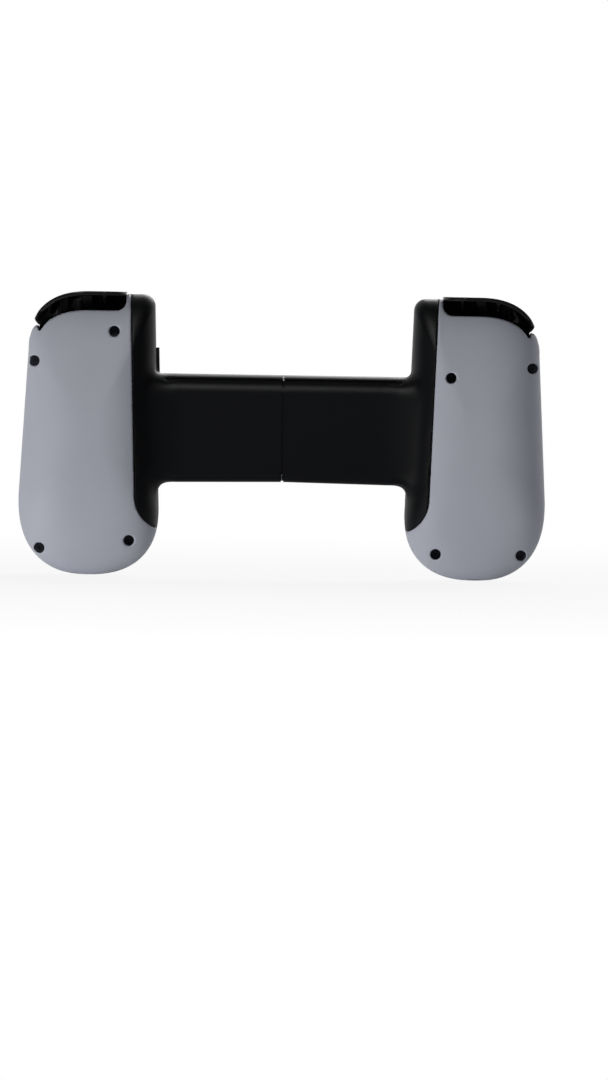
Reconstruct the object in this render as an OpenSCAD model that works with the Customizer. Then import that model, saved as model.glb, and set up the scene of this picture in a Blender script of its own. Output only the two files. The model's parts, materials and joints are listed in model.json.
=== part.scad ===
// Telescopic game controller that holds a phone between two grips, drawn shut.
// +X is to the right as seen from behind, +Y comes out of the front, +Z points to the triggers.
// The origin is the middle of the tray face that the back of the phone rests on.
// Each half is drawn with u, its distance from the seam, along X. The right half is the mirrored one.

/* [Grips] */
// Width of a grip at its widest
grip_w = 46.8; // [44:0.1:52]
// Height of a grip's shells
grip_h = 93.7; // [90:0.1:102]
// Height of the tray's middle above the lower end of the grips
tray_up = 50.2; // [48:0.1:54]
// Distance of a grip's inner edge from the seam, at its lower end
grip_in = 41; // [40:0.1:48]
// How far the inner edge leans outwards towards the top
lean_in = 2.1; // [0:0.1:3]
// How far the outer edge leans inwards towards the top
lean_out = 2.6; // [0:0.1:4]
// Height of the rounded lower end on the outer side
end_rise_out = 26; // [22:0.5:30]
// Height of the rounded lower end on the inner side
end_rise_in = 22; // [18:0.5:26]
// Depth of the back cover's belly behind the parting line
belly_depth = 17.5; // [15:0.1:22]
// Depth of the back cover at the top, behind the parting line
top_depth = 14.2; // [12:0.1:18]
// Height of the front shell in front of the parting line
front_rise = 8.5; // [8:0.1:11]
// Distance of the parting line in front of the tray
parting_y = 1; // [0.6:0.1:1.4]
// Wall of the grips' shells
wall = 1.8; // [1.4:0.1:2.2]

/* [Trigger and bumper] */
// How far the trigger stands above the grip's shells
trigger_proud = 0.8; // [0.3:0.1:1.5]
// Thickness of the trigger's shell
trigger_rim = 1.3; // [1:0.1:1.8]
// Height of the trigger's hollow, from its top to the back cover
trigger_gap = 6.3; // [5.8:0.1:7.5]
// Distance of the trigger's rear rim behind the tray
trigger_rear = 11.8; // [10:0.1:14]
// Radius of the trigger's pin
pin_r = 1.2; // [1:0.05:1.4]
// Depth of the bumper from back to front
bumper_depth = 6; // [5.5:0.1:6.5]

/* [Bridge and slide] */
// Height of the bridge at the seam
bridge_h = 34.6; // [34:0.1:38]
// Depth of the bridge behind the tray face
bridge_depth = 8.6; // [8.4:0.1:10]
// Wall of the bridge
bridge_wall = 1.5; // [1.2:0.1:1.7]
// How far the halves can be pulled apart
reach = 80; // [60:1:84]
// Length of the carriage that stays in each half at full reach
slide_hold = 10; // [8:0.5:12]
// Teeth of the pinion
pinion_teeth = 12; // [12:1:13]
// Radius of the pinion's axle
axle_r = 1.2; // [1:0.05:1.4]

/* [Controls] */
// Radius of a stick's cap
stick_r = 8.6; // [7.5:0.1:9]
// Radius of the dome under a stick's cap
dome_r = 9; // [8.8:0.1:9.3]
// Radius of a face button
face_r = 4.5; // [4:0.1:4.8]
// Distance of each face button from the middle of the four
face_spread = 8.6; // [8.4:0.1:9]
// Radius of a small button
small_r = 1.9; // [1.5:0.1:2.2]
// Length of the directional pad's cross
pad_l = 22; // [20:0.5:23]
// Width of an arm of the directional pad's cross
pad_w = 7.2; // [6.5:0.1:8]

/* [Sockets and screws] */
// Radius of the headphone jack's bore
jack_r = 1.8; // [1.3:0.05:1.9]
// Depth of the headphone jack's bore
jack_l = 14; // [12:0.5:15]
// Length of the phone plug in front of its pad
plug_l = 6.7; // [6:0.1:7]
// Radius of a screw's hole in the back cover
screw_hole_r = 1.8; // [1.6:0.05:1.9]
// Radius of a screw's shank
screw_r = 0.8; // [0.7:0.05:0.9]

/* [Hidden] */
$fn = 48;

// Colours
shell_grey = "#c9c9c6";
bridge_black = "#1d1d1e";
trigger_black = "#141416";
rubber_black = "#232323";
button_pale = "#d9d9d6";
metal = "#a9abae";
board_green = "#1f4d36";
copper = "#b5713c";

// Clearances
seam_gap = 0.1;
parting_gap = 0.1;
edge_gap = 0.15;
slide_gap = 0.3;
pin_fit = 0.05;
press_fit_gap = 0.02;
button_gap = 0.15;
seat_gap = 0.2;

// Shape powers and steps of the curves
end_power = 2.4;
corner_power = 2.45;
back_power = 2.5;
front_power = 5;
arc_steps = 8;
side_steps = 4;
corner_steps = 4;
dome_steps = 7;
far = 200;

// Main levels and edges of a half
low = -tray_up;
top = low + grip_h;
crown = top + trigger_proud;
grip_mid = grip_in + grip_w / 2;
end_out_z = low + end_rise_out;
end_in_z = low + end_rise_in;
outer_low_u = grip_mid + grip_w / 2;
outer_top_u = outer_low_u - lean_out;
corner_w = 21.2;
corner_h = 18.7;
corner_u = outer_top_u - corner_w;
corner_z = top - corner_h;
inner_r = 4;
inner_top_u = grip_in + lean_in;
dome_u = grip_mid;
dome_z = (low + top) / 2;
front_y = parting_y + front_rise;
inside_y = front_y - wall;
shell_front_y = parting_y + parting_gap;

// A stretch from one offset to another beside a place
function span(place, from, to) = [place + from, place + to];

// A point of a quarter of a rounded outline
function power_point(t, a, b, power) = [a * pow(cos(t), 2 / power), b * pow(sin(t), 2 / power)];

// Height share of a rounded outline at a share of its width, or the other way round
function power_share(share, power) = pow(1 - pow(min(1, max(0, share)), power), 1 / power);

// Outline of a grip from its lowest point, round the outer side, the top and the inner edge
function grip_outline() = concat(
    [for (i = [0 : arc_steps])
        let (p = power_point(90 - 90 * i / arc_steps, grip_w / 2, end_rise_out, end_power))
        [grip_mid + p[0], end_out_z - p[1]]],
    [for (i = [1 : side_steps - 1])
        let (z = end_out_z + (corner_z - end_out_z) * i / side_steps)
        [outer_edge(z), z]],
    [for (i = [0 : arc_steps])
        let (p = power_point(90 * i / arc_steps, corner_w, corner_h, corner_power))
        [corner_u + p[0], corner_z + p[1]]],
    [for (i = [0 : corner_steps])
        let (a = 90 + 90 * i / corner_steps)
        [inner_top_u + inner_r + inner_r * cos(a), top - inner_r + inner_r * sin(a)]],
    [for (i = [1 : side_steps - 1])
        let (z = top - inner_r + (end_in_z - top + inner_r) * i / side_steps)
        [inner_edge(z), z]],
    [for (i = [0 : arc_steps - 1])
        let (p = power_point(90 * i / arc_steps, grip_w / 2, end_rise_in, end_power))
        [grip_mid - p[0], end_in_z - p[1]]]);

// Outer and inner edge of a grip at a height below its top corners
function outer_edge(z) = z > end_out_z
    ? outer_low_u - lean_out * (z - end_out_z) / (corner_z - end_out_z)
    : grip_mid + grip_w / 2 * power_share((end_out_z - z) / end_rise_out, end_power);
function inner_edge(z) = z > end_in_z
    ? grip_in + lean_in * (z - end_in_z) / (top - inner_r - end_in_z)
    : grip_mid - grip_w / 2 * power_share((end_in_z - z) / end_rise_in, end_power);

// Height of the trigger's top over a place along the grip
function crown_z(u) = corner_z + (crown - corner_z) * power_share((u - corner_u) / corner_w, corner_power);

// Depth of the back behind the parting line, which falls off from the belly to the top
function back_depth(z) =
    let (s = min(1, max(0, (z - dome_z) / (top - dome_z))))
    belly_depth - (belly_depth - top_depth) * s * s * (3 - 2 * s);

// A grip's dome: rings of the outline that shrink towards a pole, inset for the inner side of a wall
function dome_ring(t, inset, back) =
    let (power = back ? back_power : front_power)
    let (f = pow(cos(t), 2 / power))
    let (h = pow(sin(t), 2 / power))
    [for (p = grip_outline())
        let (z = dome_z + (p[1] - dome_z) * f * (1 - 2 * inset / grip_h))
        [dome_u + (p[0] - dome_u) * f * (1 - 2 * inset / grip_w), dome_y(z, h, inset, back), z]];
function dome_y(z, h, inset, back) = back
    ? parting_y - (back_depth(z) - inset) * h
    : shell_front_y + (front_rise - parting_gap - inset) * h;
function dome_points(inset, back) = concat(
    [for (k = [0 : dome_steps - 1]) for (p = dome_ring(90 * k / dome_steps, inset, back)) p],
    [[dome_u, dome_y(dome_z, 1, inset, back), dome_z]]);

// Triangles of a dome whose points start at a number, and of the rim between two rings
function turned(face, turn) = turn ? [face[0], face[2], face[1]] : face;
function dome_faces(first, n, turn) = concat(
    [for (k = [0 : dome_steps - 2]) for (i = [0 : n - 1])
        let (a = first + k * n + i)
        let (b = first + k * n + (i + 1) % n)
        for (face = [[a, a + n, b + n], [a, b + n, b]]) turned(face, turn)],
    [for (i = [0 : n - 1])
        let (last = first + (dome_steps - 1) * n)
        turned([last + i, first + dome_steps * n, last + (i + 1) % n], turn)]);
function rim_faces(first, second, n, turn) =
    [for (i = [0 : n - 1])
        let (j = (i + 1) % n)
        for (face = [[first + i, first + j, second + j], [first + i, second + j, second + i]])
            turned(face, turn)];

// Hollow and filled form of a grip's back or front
module grip_shell(back) {
    n = len(grip_outline());
    inner = dome_steps * n + 1;
    polyhedron(
        concat(dome_points(0, back), dome_points(wall, back)),
        concat(dome_faces(0, n, !back), dome_faces(inner, n, back), rim_faces(0, inner, n, !back)),
        convexity = 8);
}
module grip_solid(back) {
    n = len(grip_outline());
    middle = dome_steps * n + 1;
    lid_y = back ? parting_y : shell_front_y;
    polyhedron(
        concat(dome_points(0, back), [[dome_u, lid_y, dome_z]]),
        concat(dome_faces(0, n, !back), [for (i = [0 : n - 1]) turned([i, (i + 1) % n, middle], !back)]),
        convexity = 4);
}

// Extrusions along the axes: a shape in u and z along y, one in y and z along u, one in u and y along z
module along_y(from, to) {
    translate([0, to, 0]) rotate([90, 0, 0]) linear_extrude(to - from) children();
}
module along_u(from, to) {
    translate([from, 0, 0]) rotate([90, 0, 90]) linear_extrude(to - from) children();
}
module along_z(from, to) {
    translate([0, 0, from]) linear_extrude(to - from) children();
}
module post(u, z, r, from, to) {
    translate([u, to, z]) rotate([90, 0, 0]) cylinder(r = r, h = to - from);
}
module block(u, y, z) {
    translate([u[0], y[0], z[0]]) cube([u[1] - u[0], y[1] - y[0], z[1] - z[0]]);
}
module slot_2d(w, h) {
    square([w - h, h], center = true);
    for (s = [-1, 1]) translate([s * (w - h) / 2, 0]) circle(r = h / 2);
}
module right_half() {
    mirror([1, 0, 0]) children();
}

// Line between the light back cover and the black strip, which bends to the inner edge below
strip_top_w = 8.1;
strip_low_w = 8;
strip_top_u = inner_top_u + strip_top_w;
strip_low_u = grip_in + strip_low_w;
strip_bend_r = 12;
strip_bend_up = 5;
strip_bend_z = end_in_z + strip_bend_up;
strip_bend_angle = 75;
module cover_area(gap) {
    polygon(concat(
        [[strip_top_u + gap, far], [strip_top_u + gap, top], [strip_low_u + gap, strip_bend_z]],
        [for (i = [1 : corner_steps])
            let (a = -strip_bend_angle * i / corner_steps)
            [strip_low_u - strip_bend_r, strip_bend_z] + (strip_bend_r + gap) * [cos(a), sin(a)]],
        [[0, strip_bend_z - strip_bend_r - gap], [0, -far], [far, -far], [far, far]]));
}

// Cut for the trigger and the bumper, from the tongue beside the strip to the tip at the outer side
tongue_w = 1.5;
cut_u = strip_top_u + tongue_w;
cut_z = crown - trigger_gap;
cut_fillet = 3.2;
cut_side = 3.6;
cut_w = corner_w - cut_side;
cut_end_angle = 20;
cut_tip_in = 3.2;
cut_tip_down = 4.6;
cut_tip_u = outer_top_u - cut_tip_in;
cut_tip_z = cut_z - cut_tip_down;
module trigger_cut() {
    polygon(concat(
        [[cut_u, far]],
        [for (i = [0 : corner_steps])
            let (a = 180 + 90 * i / corner_steps)
            [cut_u + cut_fillet, cut_z + cut_fillet] + cut_fillet * [cos(a), sin(a)]],
        [for (i = [0 : arc_steps])
            let (t = 90 + (cut_end_angle - 90) * i / arc_steps)
            [corner_u, corner_z] + power_point(t, cut_w, cut_z - corner_z, corner_power)],
        [[cut_tip_u, cut_tip_z], [far, cut_tip_z], [far, far]]));
}

// Screws of a half, each at a distance from its outer or inner edge and at a height
edge_screw_down = 22.6;
right_top_down = 12.4;
right_top_in = 13.6;
right_edge_in = 2.5;
right_low_out = 3.4;
right_low_in = 8;
right_low_rise = 3;
left_top_down = 26.1;
left_top_in = 13.2;
left_edge_in = 2.8;
left_low_in = 7.4;
left_low_out = 3.9;
low_screw_rise = 8.9;
edge_screw_up = top - edge_screw_down;
low_screw_up = low + low_screw_rise;
right_top_screw = top - right_top_down;
right_low_screw = low_screw_up + right_low_rise;
left_top_screw = top - left_top_down;
right_screws = [
    [inner_edge(right_top_screw) + right_top_in, right_top_screw],
    [outer_edge(edge_screw_up) - right_edge_in, edge_screw_up],
    [outer_edge(low_screw_up) - right_low_out, low_screw_up],
    [inner_edge(right_low_screw) + right_low_in, right_low_screw]];
left_screws = [
    [inner_edge(left_top_screw) + left_top_in, left_top_screw],
    [outer_edge(edge_screw_up) - left_edge_in, edge_screw_up],
    [inner_edge(low_screw_up) + left_low_in, low_screw_up],
    [outer_edge(low_screw_up) - left_low_out, low_screw_up]];
screw_boss_w = 0.85;
screw_boss_r = screw_hole_r + screw_boss_w;
screw_seat_y = -3.4;
screw_head_h = 1.4;
screw_l = 7;
drive_l = 1.6;
drive_w = 0.5;
module cover_screws(places) {
    color(metal)
    for (p = places) {
        difference() {
            post(p[0], p[1], screw_hole_r - seat_gap, screw_seat_y - screw_head_h, screw_seat_y);
            along_y(screw_seat_y - screw_head_h - 1, screw_seat_y - screw_head_h / 2)
                translate(p) for (a = [0, 90]) rotate(a) square([drive_l, drive_w], center = true);
        }
        post(p[0], p[1], screw_r, screw_seat_y, screw_seat_y + screw_l);
    }
}

// Back cover with its screw bosses
module back_cover(places) {
    color(shell_grey)
    difference() {
        union() {
            intersection() {
                grip_shell(true);
                along_y(-far, far) cover_area(edge_gap / 2);
            }
            intersection() {
                grip_solid(true);
                for (p = places) post(p[0], p[1], screw_boss_r, -far, parting_y);
            }
        }
        along_y(-far, far) trigger_cut();
        for (p = places) {
            post(p[0], p[1], screw_hole_r, -far, screw_seat_y);
            post(p[0], p[1], screw_r + seat_gap, -far, far);
        }
    }
}

// Board with its cut-outs, and the posts that carry it
board_y = [-4, -2.8];
board_in = 14;
board_down = 16.5;
board_in_u = grip_in + board_in;
board_top_z = top - board_down;
post_r = 1.6;
post_places = [
    [grip_mid - 6.4, low + 14.2],
    [outer_edge(low + 17.2) - 9, low + 17.2],
    [outer_edge(board_top_z - 3) - 6.4, board_top_z - 3]];
board_share = 0.88;
module board(places) {
    color(board_green)
    along_y(board_y[0], board_y[1])
    difference() {
        intersection() {
            polygon([for (p = grip_outline()) [dome_u, dome_z] + board_share * (p - [dome_u, dome_z])]);
            translate([board_in_u, -far]) square([far, far + board_top_z]);
        }
        for (p = places) translate(p) circle(r = screw_boss_r + slide_gap);
    }
}

// Front shell: bosses for the screws, posts for the board and cuts for the controls
front_screw_bore_l = 5.5;
module front_shell(places) {
    color(shell_grey)
    difference() {
        union() {
            grip_shell(false);
            intersection() {
                grip_solid(false);
                for (p = places) post(p[0], p[1], screw_boss_r - seat_gap, shell_front_y, far);
            }
            for (p = post_places) post(p[0], p[1], post_r, board_y[1], inside_y + wall / 4);
        }
        along_y(-far, far) trigger_cut();
        for (p = places) post(p[0], p[1], screw_r + pin_fit, -far, shell_front_y + front_screw_bore_l);
        children();
    }
}

// Rubber pad on the inner edge, let into the front shell
pad_proud = 1;
pad_sunk = 0.8;
pad_y = [shell_front_y + 0.5, shell_front_y + 5.5];
pad_short = 1.3;
pad_low_z = pad_short - bridge_h / 2;
right_pad_top = 25.8;
left_pad_top = bridge_h / 2 - pad_short;
module pad_2d(top_z, gap) {
    polygon([
        [inner_edge(pad_low_z) - pad_proud - gap, pad_low_z - gap],
        [inner_edge(pad_low_z) + pad_sunk + gap, pad_low_z - gap],
        [inner_edge(top_z) + pad_sunk + gap, top_z + gap],
        [inner_edge(top_z) - pad_proud - gap, top_z + gap]]);
}
module pad_cut(top_z) {
    along_y(pad_y[0] - seat_gap / 2, pad_y[1] + seat_gap / 2) pad_2d(top_z, seat_gap / 2);
}
module end_pad(top_z) {
    color(rubber_black) along_y(pad_y[0], pad_y[1]) pad_2d(top_z, 0);
}

// Phone plug, through the right pad
plug_y = (pad_y[0] + pad_y[1]) / 2;
plug_w = 8.3;
plug_h = 2.5;
plug_wall = 0.45;
plug_bore_l = 5.4;
plug_base_in = 1.8;
plug_base_u = inner_edge(0) + wall + plug_base_in;
plug_tip_u = inner_edge(0) - pad_proud - plug_l;
plug_base_l = 6;
plug_base_w = 9.2;
plug_base_h = 3.8;
module plug_cut(gap) {
    along_u(0, plug_base_u) translate([plug_y, 0]) rotate(90) slot_2d(plug_w + 2 * gap, plug_h + 2 * gap);
}
module phone_plug() {
    color(metal) {
        difference() {
            intersection() {
                plug_cut(0);
                block([plug_tip_u, far], [-far, far], [-far, far]);
            }
            along_u(0, plug_tip_u + plug_bore_l) translate([plug_y, 0]) rotate(90)
                slot_2d(plug_w - 2 * plug_wall, plug_h - 2 * plug_wall);
        }
        block([plug_base_u, plug_base_u + plug_base_l], span(plug_y, -plug_base_h / 2, plug_base_h / 2),
            [-plug_base_w / 2, plug_base_w / 2]);
    }
}

// Charge port at the lower end of the right half
port_front = 2.2;
port_y = parting_y + port_front;
port_w = 8.9;
port_h = 3.2;
port_wall = 0.3;
port_l = 7.3;
port_sunk = 0.5;
port_mouth_z = low + port_sunk;
module port_cut(gap) {
    along_z(low - 1, port_mouth_z + port_l) translate([grip_mid, port_y])
        slot_2d(port_w + 2 * gap, port_h + 2 * gap);
}
module charge_port() {
    color(metal)
    difference() {
        intersection() {
            port_cut(0);
            block([0, far], [-far, far], [port_mouth_z, far]);
        }
        along_z(low - 1, port_mouth_z + port_l - 1) translate([grip_mid, port_y])
            slot_2d(port_w - 2 * port_wall, port_h - 2 * port_wall);
    }
}

// Headphone jack at the lower end of the left half
jack_y = parting_y;
jack_sunk = 0.15;
jack_mouth_z = low + jack_sunk;
jack_wall = 1.25;
module jack_body(gap) {
    translate([grip_mid, jack_y, jack_mouth_z])
        cylinder(r = jack_r + jack_wall + gap, h = jack_l + jack_wall);
}
module jack_cut() {
    jack_body(button_gap);
    translate([grip_mid, jack_y, low - 5]) cylinder(r = jack_r + jack_wall + button_gap, h = 10);
}
module headphone_jack() {
    color(metal)
    difference() {
        jack_body(0);
        translate([grip_mid, jack_y, jack_mouth_z - 1]) cylinder(r = jack_r, h = jack_l + 1);
    }
}

// Trigger: a shell under the crown, rounded in plan, with two ribs and two arms on its pin
rim_low_up = 1.7;
rim_low_z = cut_tip_z + rim_low_up;
rim_slope_y = -0.5;
trigger_turn = 15;
trigger_y = [-trigger_rear, parting_y + 0.8];
trigger_in_u = cut_u + slide_gap / 2;
plan_side = 2;
plan_short = 1;
trigger_plan_w = corner_w - plan_side;
trigger_plan_d = trigger_rear - plan_short;
trigger_plan_r = 7.5;
pin_front = 2;
pin_down = 4;
eye_w = 0.8;
pin_y = parting_y + pin_front;
pin_z = cut_z - pin_down;
eye_r = pin_r + eye_w;
arm_back = 0.8;
arm_knee = 6;
arm_root = 4.2;
arm_w = 3;
bracket_clear = 2;
bracket_l = 16.6;
arm_inset = 3;
arm_apart = 8;
bracket_u = span(right_screws[0][0] + screw_boss_r, bracket_clear, bracket_clear + bracket_l);
arm_places = span(bracket_u[0] + arm_inset, 0, arm_apart);
bracket_ear = 1.6;
ear_up = 2.2;
ear_down = 2.5;
ear_back = 1.8;
plate_down = 7;
rib_w = 0.9;
rib_h = 3.6;
rib_rear = -2.2;
right_rib_in = 2.1;
right_rib_out = 14.2;
left_rib_in = 6.4;
left_rib_out = 7.1;
right_ribs = [cut_u + right_rib_in, corner_u + right_rib_out];
left_ribs = [cut_u + left_rib_in, corner_u + left_rib_out];
function crown_curve(inset) = concat(
    [for (i = [0 : arc_steps])
        let (high = crown - corner_z - inset)
        [corner_u, corner_z] + power_point(90 * i / arc_steps, corner_w - inset, high, corner_power)],
    [[trigger_in_u, crown - inset]]);
module crown_band(thick) {
    inside = crown_curve(thick);
    intersection() {
        polygon(concat(crown_curve(0), [for (i = [len(inside) - 1 : -1 : 0]) inside[i]]));
        translate([0, rim_low_z]) square([far, far]);
    }
}
module trigger_plan() {
    polygon(concat(
        [for (i = [0 : corner_steps])
            let (a = 180 + 90 * i / corner_steps)
            [trigger_in_u, -trigger_rear] + trigger_plan_r * [1 + cos(a), 1 + sin(a)]],
        [for (i = [0 : arc_steps])
            let (p = power_point(90 - 90 * i / arc_steps, trigger_plan_w, trigger_plan_d, corner_power))
            [outer_top_u - trigger_plan_w + p[0], trigger_plan_d - trigger_rear - p[1]]],
        [[outer_top_u, trigger_y[1]], [trigger_in_u, trigger_y[1]]]));
}
// Side view of the trigger's shell, which rises to the rear so that it clears the cover's tip when pulled
module trigger_side() {
    rear_z = rim_low_z + (trigger_rear + rim_slope_y) * tan(trigger_turn + 2);
    polygon([
        [trigger_y[1], rim_low_z], [rim_slope_y, rim_low_z], [trigger_y[0], rear_z], [trigger_y[0], far],
        [trigger_y[1], far]]);
}
module trigger(ribs) {
    color(trigger_black)
    difference() {
        union() {
            intersection() {
                along_y(trigger_y[0], trigger_y[1]) crown_band(trigger_rim);
                along_z(0, far) trigger_plan();
                along_u(0, far) trigger_side();
            }
            for (u = ribs) {
                peak = crown_z(u + rib_w / 2) - trigger_rim / 2;
                block([u - rib_w / 2, u + rib_w / 2], [rib_rear, trigger_y[1]], [peak - rib_h, peak]);
            }
            for (u = arm_places) {
                peak = crown_z(u + arm_w) - trigger_rim / 2;
                along_u(u, u + arm_w) {
                    translate([pin_y, pin_z]) circle(r = eye_r);
                    polygon([
                        [pin_y - eye_r, pin_z], [pin_y + eye_r * cos(45), pin_z + eye_r * sin(45)],
                        [trigger_y[1] - arm_back, pin_z + arm_knee], [trigger_y[1] - arm_back, peak],
                        [trigger_y[1] - arm_back - arm_root, peak]]);
                }
            }
        }
        along_u(0, far) translate([pin_y, pin_z]) circle(r = pin_r + pin_fit);
    }
}
module trigger_pin() {
    color(metal) along_u(bracket_u[0], bracket_u[1]) translate([pin_y, pin_z]) circle(r = pin_r);
}
module trigger_spring() {
    color(metal)
    along_u(arm_places[0] + arm_w + slide_gap, arm_places[1] - slide_gap) translate([pin_y, pin_z])
        difference() {
            circle(r = eye_r);
            circle(r = pin_r + press_fit_gap);
        }
}

// Bracket that holds the pin's ends and, on a shelf, the bumper's switch
plate_h = 0.8;
plate_y = span(pin_y + eye_r + slide_gap, 0, plate_h);
shelf_u = [arm_places[0] + arm_w + seat_gap, arm_places[1] - seat_gap];
shelf_back = 0.8;
shelf_z = pin_z + eye_r + slide_gap;
shelf_h = 0.6;
module trigger_bracket() {
    color(bridge_black)
    difference() {
        union() {
            block(bracket_u, plate_y, span(pin_z, -plate_down, ear_up));
            for (u = [bracket_u[0], bracket_u[1] - bracket_ear])
                block([u, u + bracket_ear], [pin_y - ear_back, plate_y[1]], span(pin_z, -ear_down, ear_up));
            block(shelf_u, [pin_y + shelf_back, plate_y[1]], [shelf_z, shelf_z + shelf_h]);
            block(shelf_u, plate_y, [pin_z, shelf_z + shelf_h]);
        }
        along_u(0, far) translate([pin_y, pin_z]) circle(r = pin_r + press_fit_gap);
    }
}

// Bumper in front of the trigger, with a lip at the front and a stem over its switch
bumper_y = [trigger_y[1] + 0.4, trigger_y[1] + 0.4 + bumper_depth];
bumper_wall = 1.5;
bumper_travel = 0.8;
stem_u = (shelf_u[0] + shelf_u[1]) / 2;
stem_y = (pin_y + shelf_back + plate_y[1]) / 2;
switch_h = 1.4;
switch_w = 3.6;
switch_d = 2;
stem_r = 1;
stem_low_z = shelf_z + shelf_h + switch_h + bumper_travel + edge_gap;
module bumper() {
    color(trigger_black) {
        along_y(bumper_y[0], bumper_y[1]) crown_band(bumper_wall);
        along_y(bumper_y[1] - bumper_wall, bumper_y[1])
        intersection() {
            polygon(concat(crown_curve(0), [[trigger_in_u, 0]]));
            translate([0, bumper_travel + 2 * slide_gap]) trigger_cut();
        }
        along_z(stem_low_z, crown_z(stem_u + stem_r) - bumper_wall / 2)
            translate([stem_u, stem_y]) circle(r = stem_r);
    }
}
module bumper_switch() {
    color(metal)
    block(span(stem_u, -switch_w / 2, switch_w / 2), span(stem_y, -switch_d / 2, switch_d / 2),
        span(shelf_z + shelf_h, 0, switch_h));
}

// Bridge back with its strip: a rounded channel that runs into the black strip of the grip
bridge_drop = 1.1;
bridge_top_r = 4;
bridge_low_r = 2.5;
bridge_fillet_up = 2;
bridge_fillet_down = 3;
bridge_end_in = 4;
bridge_end_u = grip_in + bridge_end_in;
tray_y = [-bridge_wall, 0];
channel_y = [bridge_wall - bridge_depth, -bridge_wall];
channel_z = bridge_h / 2 - bridge_wall;
module bridge_section() {
    up = bridge_h / 2;
    down = -bridge_h / 2 - bridge_drop;
    polygon(concat(
        [[tray_y[0], down], [tray_y[0], up]],
        [for (i = [0 : arc_steps])
            let (a = 90 + 90 * i / arc_steps)
            [bridge_top_r - bridge_depth, up - bridge_top_r] + bridge_top_r * [cos(a), sin(a)]],
        [for (i = [0 : arc_steps])
            let (a = 180 + 90 * i / arc_steps)
            [bridge_low_r - bridge_depth, down + bridge_low_r] + bridge_low_r * [cos(a), sin(a)]]));
}
module bridge_fillet(z, r, way) {
    u = inner_edge(z);
    polygon(concat(
        [[u + wall, z - way], [u + wall, z + way * r]],
        [for (i = [0 : corner_steps])
            let (a = 90 * i / corner_steps)
            [u - r + r * cos(a), z + way * (r - r * sin(a))]],
        [[u - r, z - way]]));
}
module bridge_back() {
    color(bridge_black)
    difference() {
        union() {
            intersection() {
                grip_shell(true);
                difference() {
                    along_y(-far, far) translate([0, -far]) square([far, 2 * far]);
                    along_y(-far - 1, far + 1) cover_area(-edge_gap / 2);
                }
            }
            intersection() {
                along_u(seam_gap, bridge_end_u) bridge_section();
                along_y(-far, far) polygon([
                    [0, -bridge_h / 2], [bridge_end_u, -bridge_h / 2 - bridge_drop],
                    [bridge_end_u, bridge_h / 2], [0, bridge_h / 2]]);
            }
            along_y(bridge_top_r - bridge_depth, tray_y[0])
                bridge_fillet(bridge_h / 2, bridge_fillet_up, 1);
            along_y(bridge_low_r - bridge_depth, tray_y[0])
                bridge_fillet(-bridge_h / 2 - bridge_drop * 0.9, bridge_fillet_down, -1);
        }
        block([-1, far], [channel_y[0], seat_gap], [-channel_z, channel_z]);
        block([-1, tray_end_u + seat_gap], [tray_y[0], seat_gap], [-far, bridge_h / 2 + seat_gap]);
    }
}

// Tray that closes the bridge: a raised rest for the phone that ends before the plug, and a tongue into
// the grip for the rack and the springs
tray_end_in = 0.8;
tongue_short = 0.8;
tongue_in = 13;
tray_end_u = inner_edge(0) + tray_end_in;
tongue_z = channel_z - tongue_short;
tongue_end_u = grip_in + tongue_in;
anchor_u = [tongue_end_u - 2.7, tongue_end_u - 1.2];
anchor_h = 2.8;
rest_step = 0.2;
rest_clear = 0.5;
rest_end_u = plug_tip_u - rest_clear;
spring_in = 3;
spring_z = channel_z - spring_in;
spring_r = 1.25;
module bridge_tray() {
    color(bridge_black) {
        block([seam_gap, rest_end_u], tray_y, [-bridge_h / 2, bridge_h / 2]);
        block([seam_gap, tray_end_u], tray_y - [0, rest_step], [-bridge_h / 2, bridge_h / 2]);
        block([seam_gap, tongue_end_u], tray_y - [0, rest_step], [-tongue_z, tongue_z]);
        for (s = [-1, 1])
            block(anchor_u, [spring_y - spring_r, tray_y[1] - rest_step],
                span(s * spring_z, -anchor_h / 2, anchor_h / 2));
    }
}

// Carriage: a closed rail that slides in both halves and holds the pinion
carriage_l = reach + 2 * slide_hold;
carriage_y = channel_y + [slide_gap, -slide_gap];
carriage_z = channel_z - slide_gap;
carriage_floor = 1;
cover_h = 0.9;
gear_y = [carriage_y[0] + carriage_floor + 0.8, carriage_y[1] - cover_h - slide_gap];
spring_y = (carriage_y[0] + carriage_floor + carriage_y[1] - cover_h) / 2;
groove_z = 10;
spring_room = spring_r + 2 * slide_gap;
module carriage() {
    color(rubber_black)
    difference() {
        block([-0.5, 0.5] * carriage_l, carriage_y - [0, cover_h], [-carriage_z, carriage_z]);
        block([-far, far], [carriage_y[0] + carriage_floor, far], [-groove_z, groove_z]);
        for (s = [-1, 1])
            block([-far, far], [carriage_y[0] + carriage_floor, far],
                span(s * spring_z, -spring_room, spring_room));
        post(0, 0, axle_r + press_fit_gap, -far, far);
    }
}
module carriage_cover() {
    color(rubber_black)
    difference() {
        block([-0.5, 0.5] * carriage_l, span(carriage_y[1], -cover_h, 0), [-carriage_z, carriage_z]);
        post(0, 0, axle_r + press_fit_gap, -far, far);
    }
}

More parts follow.
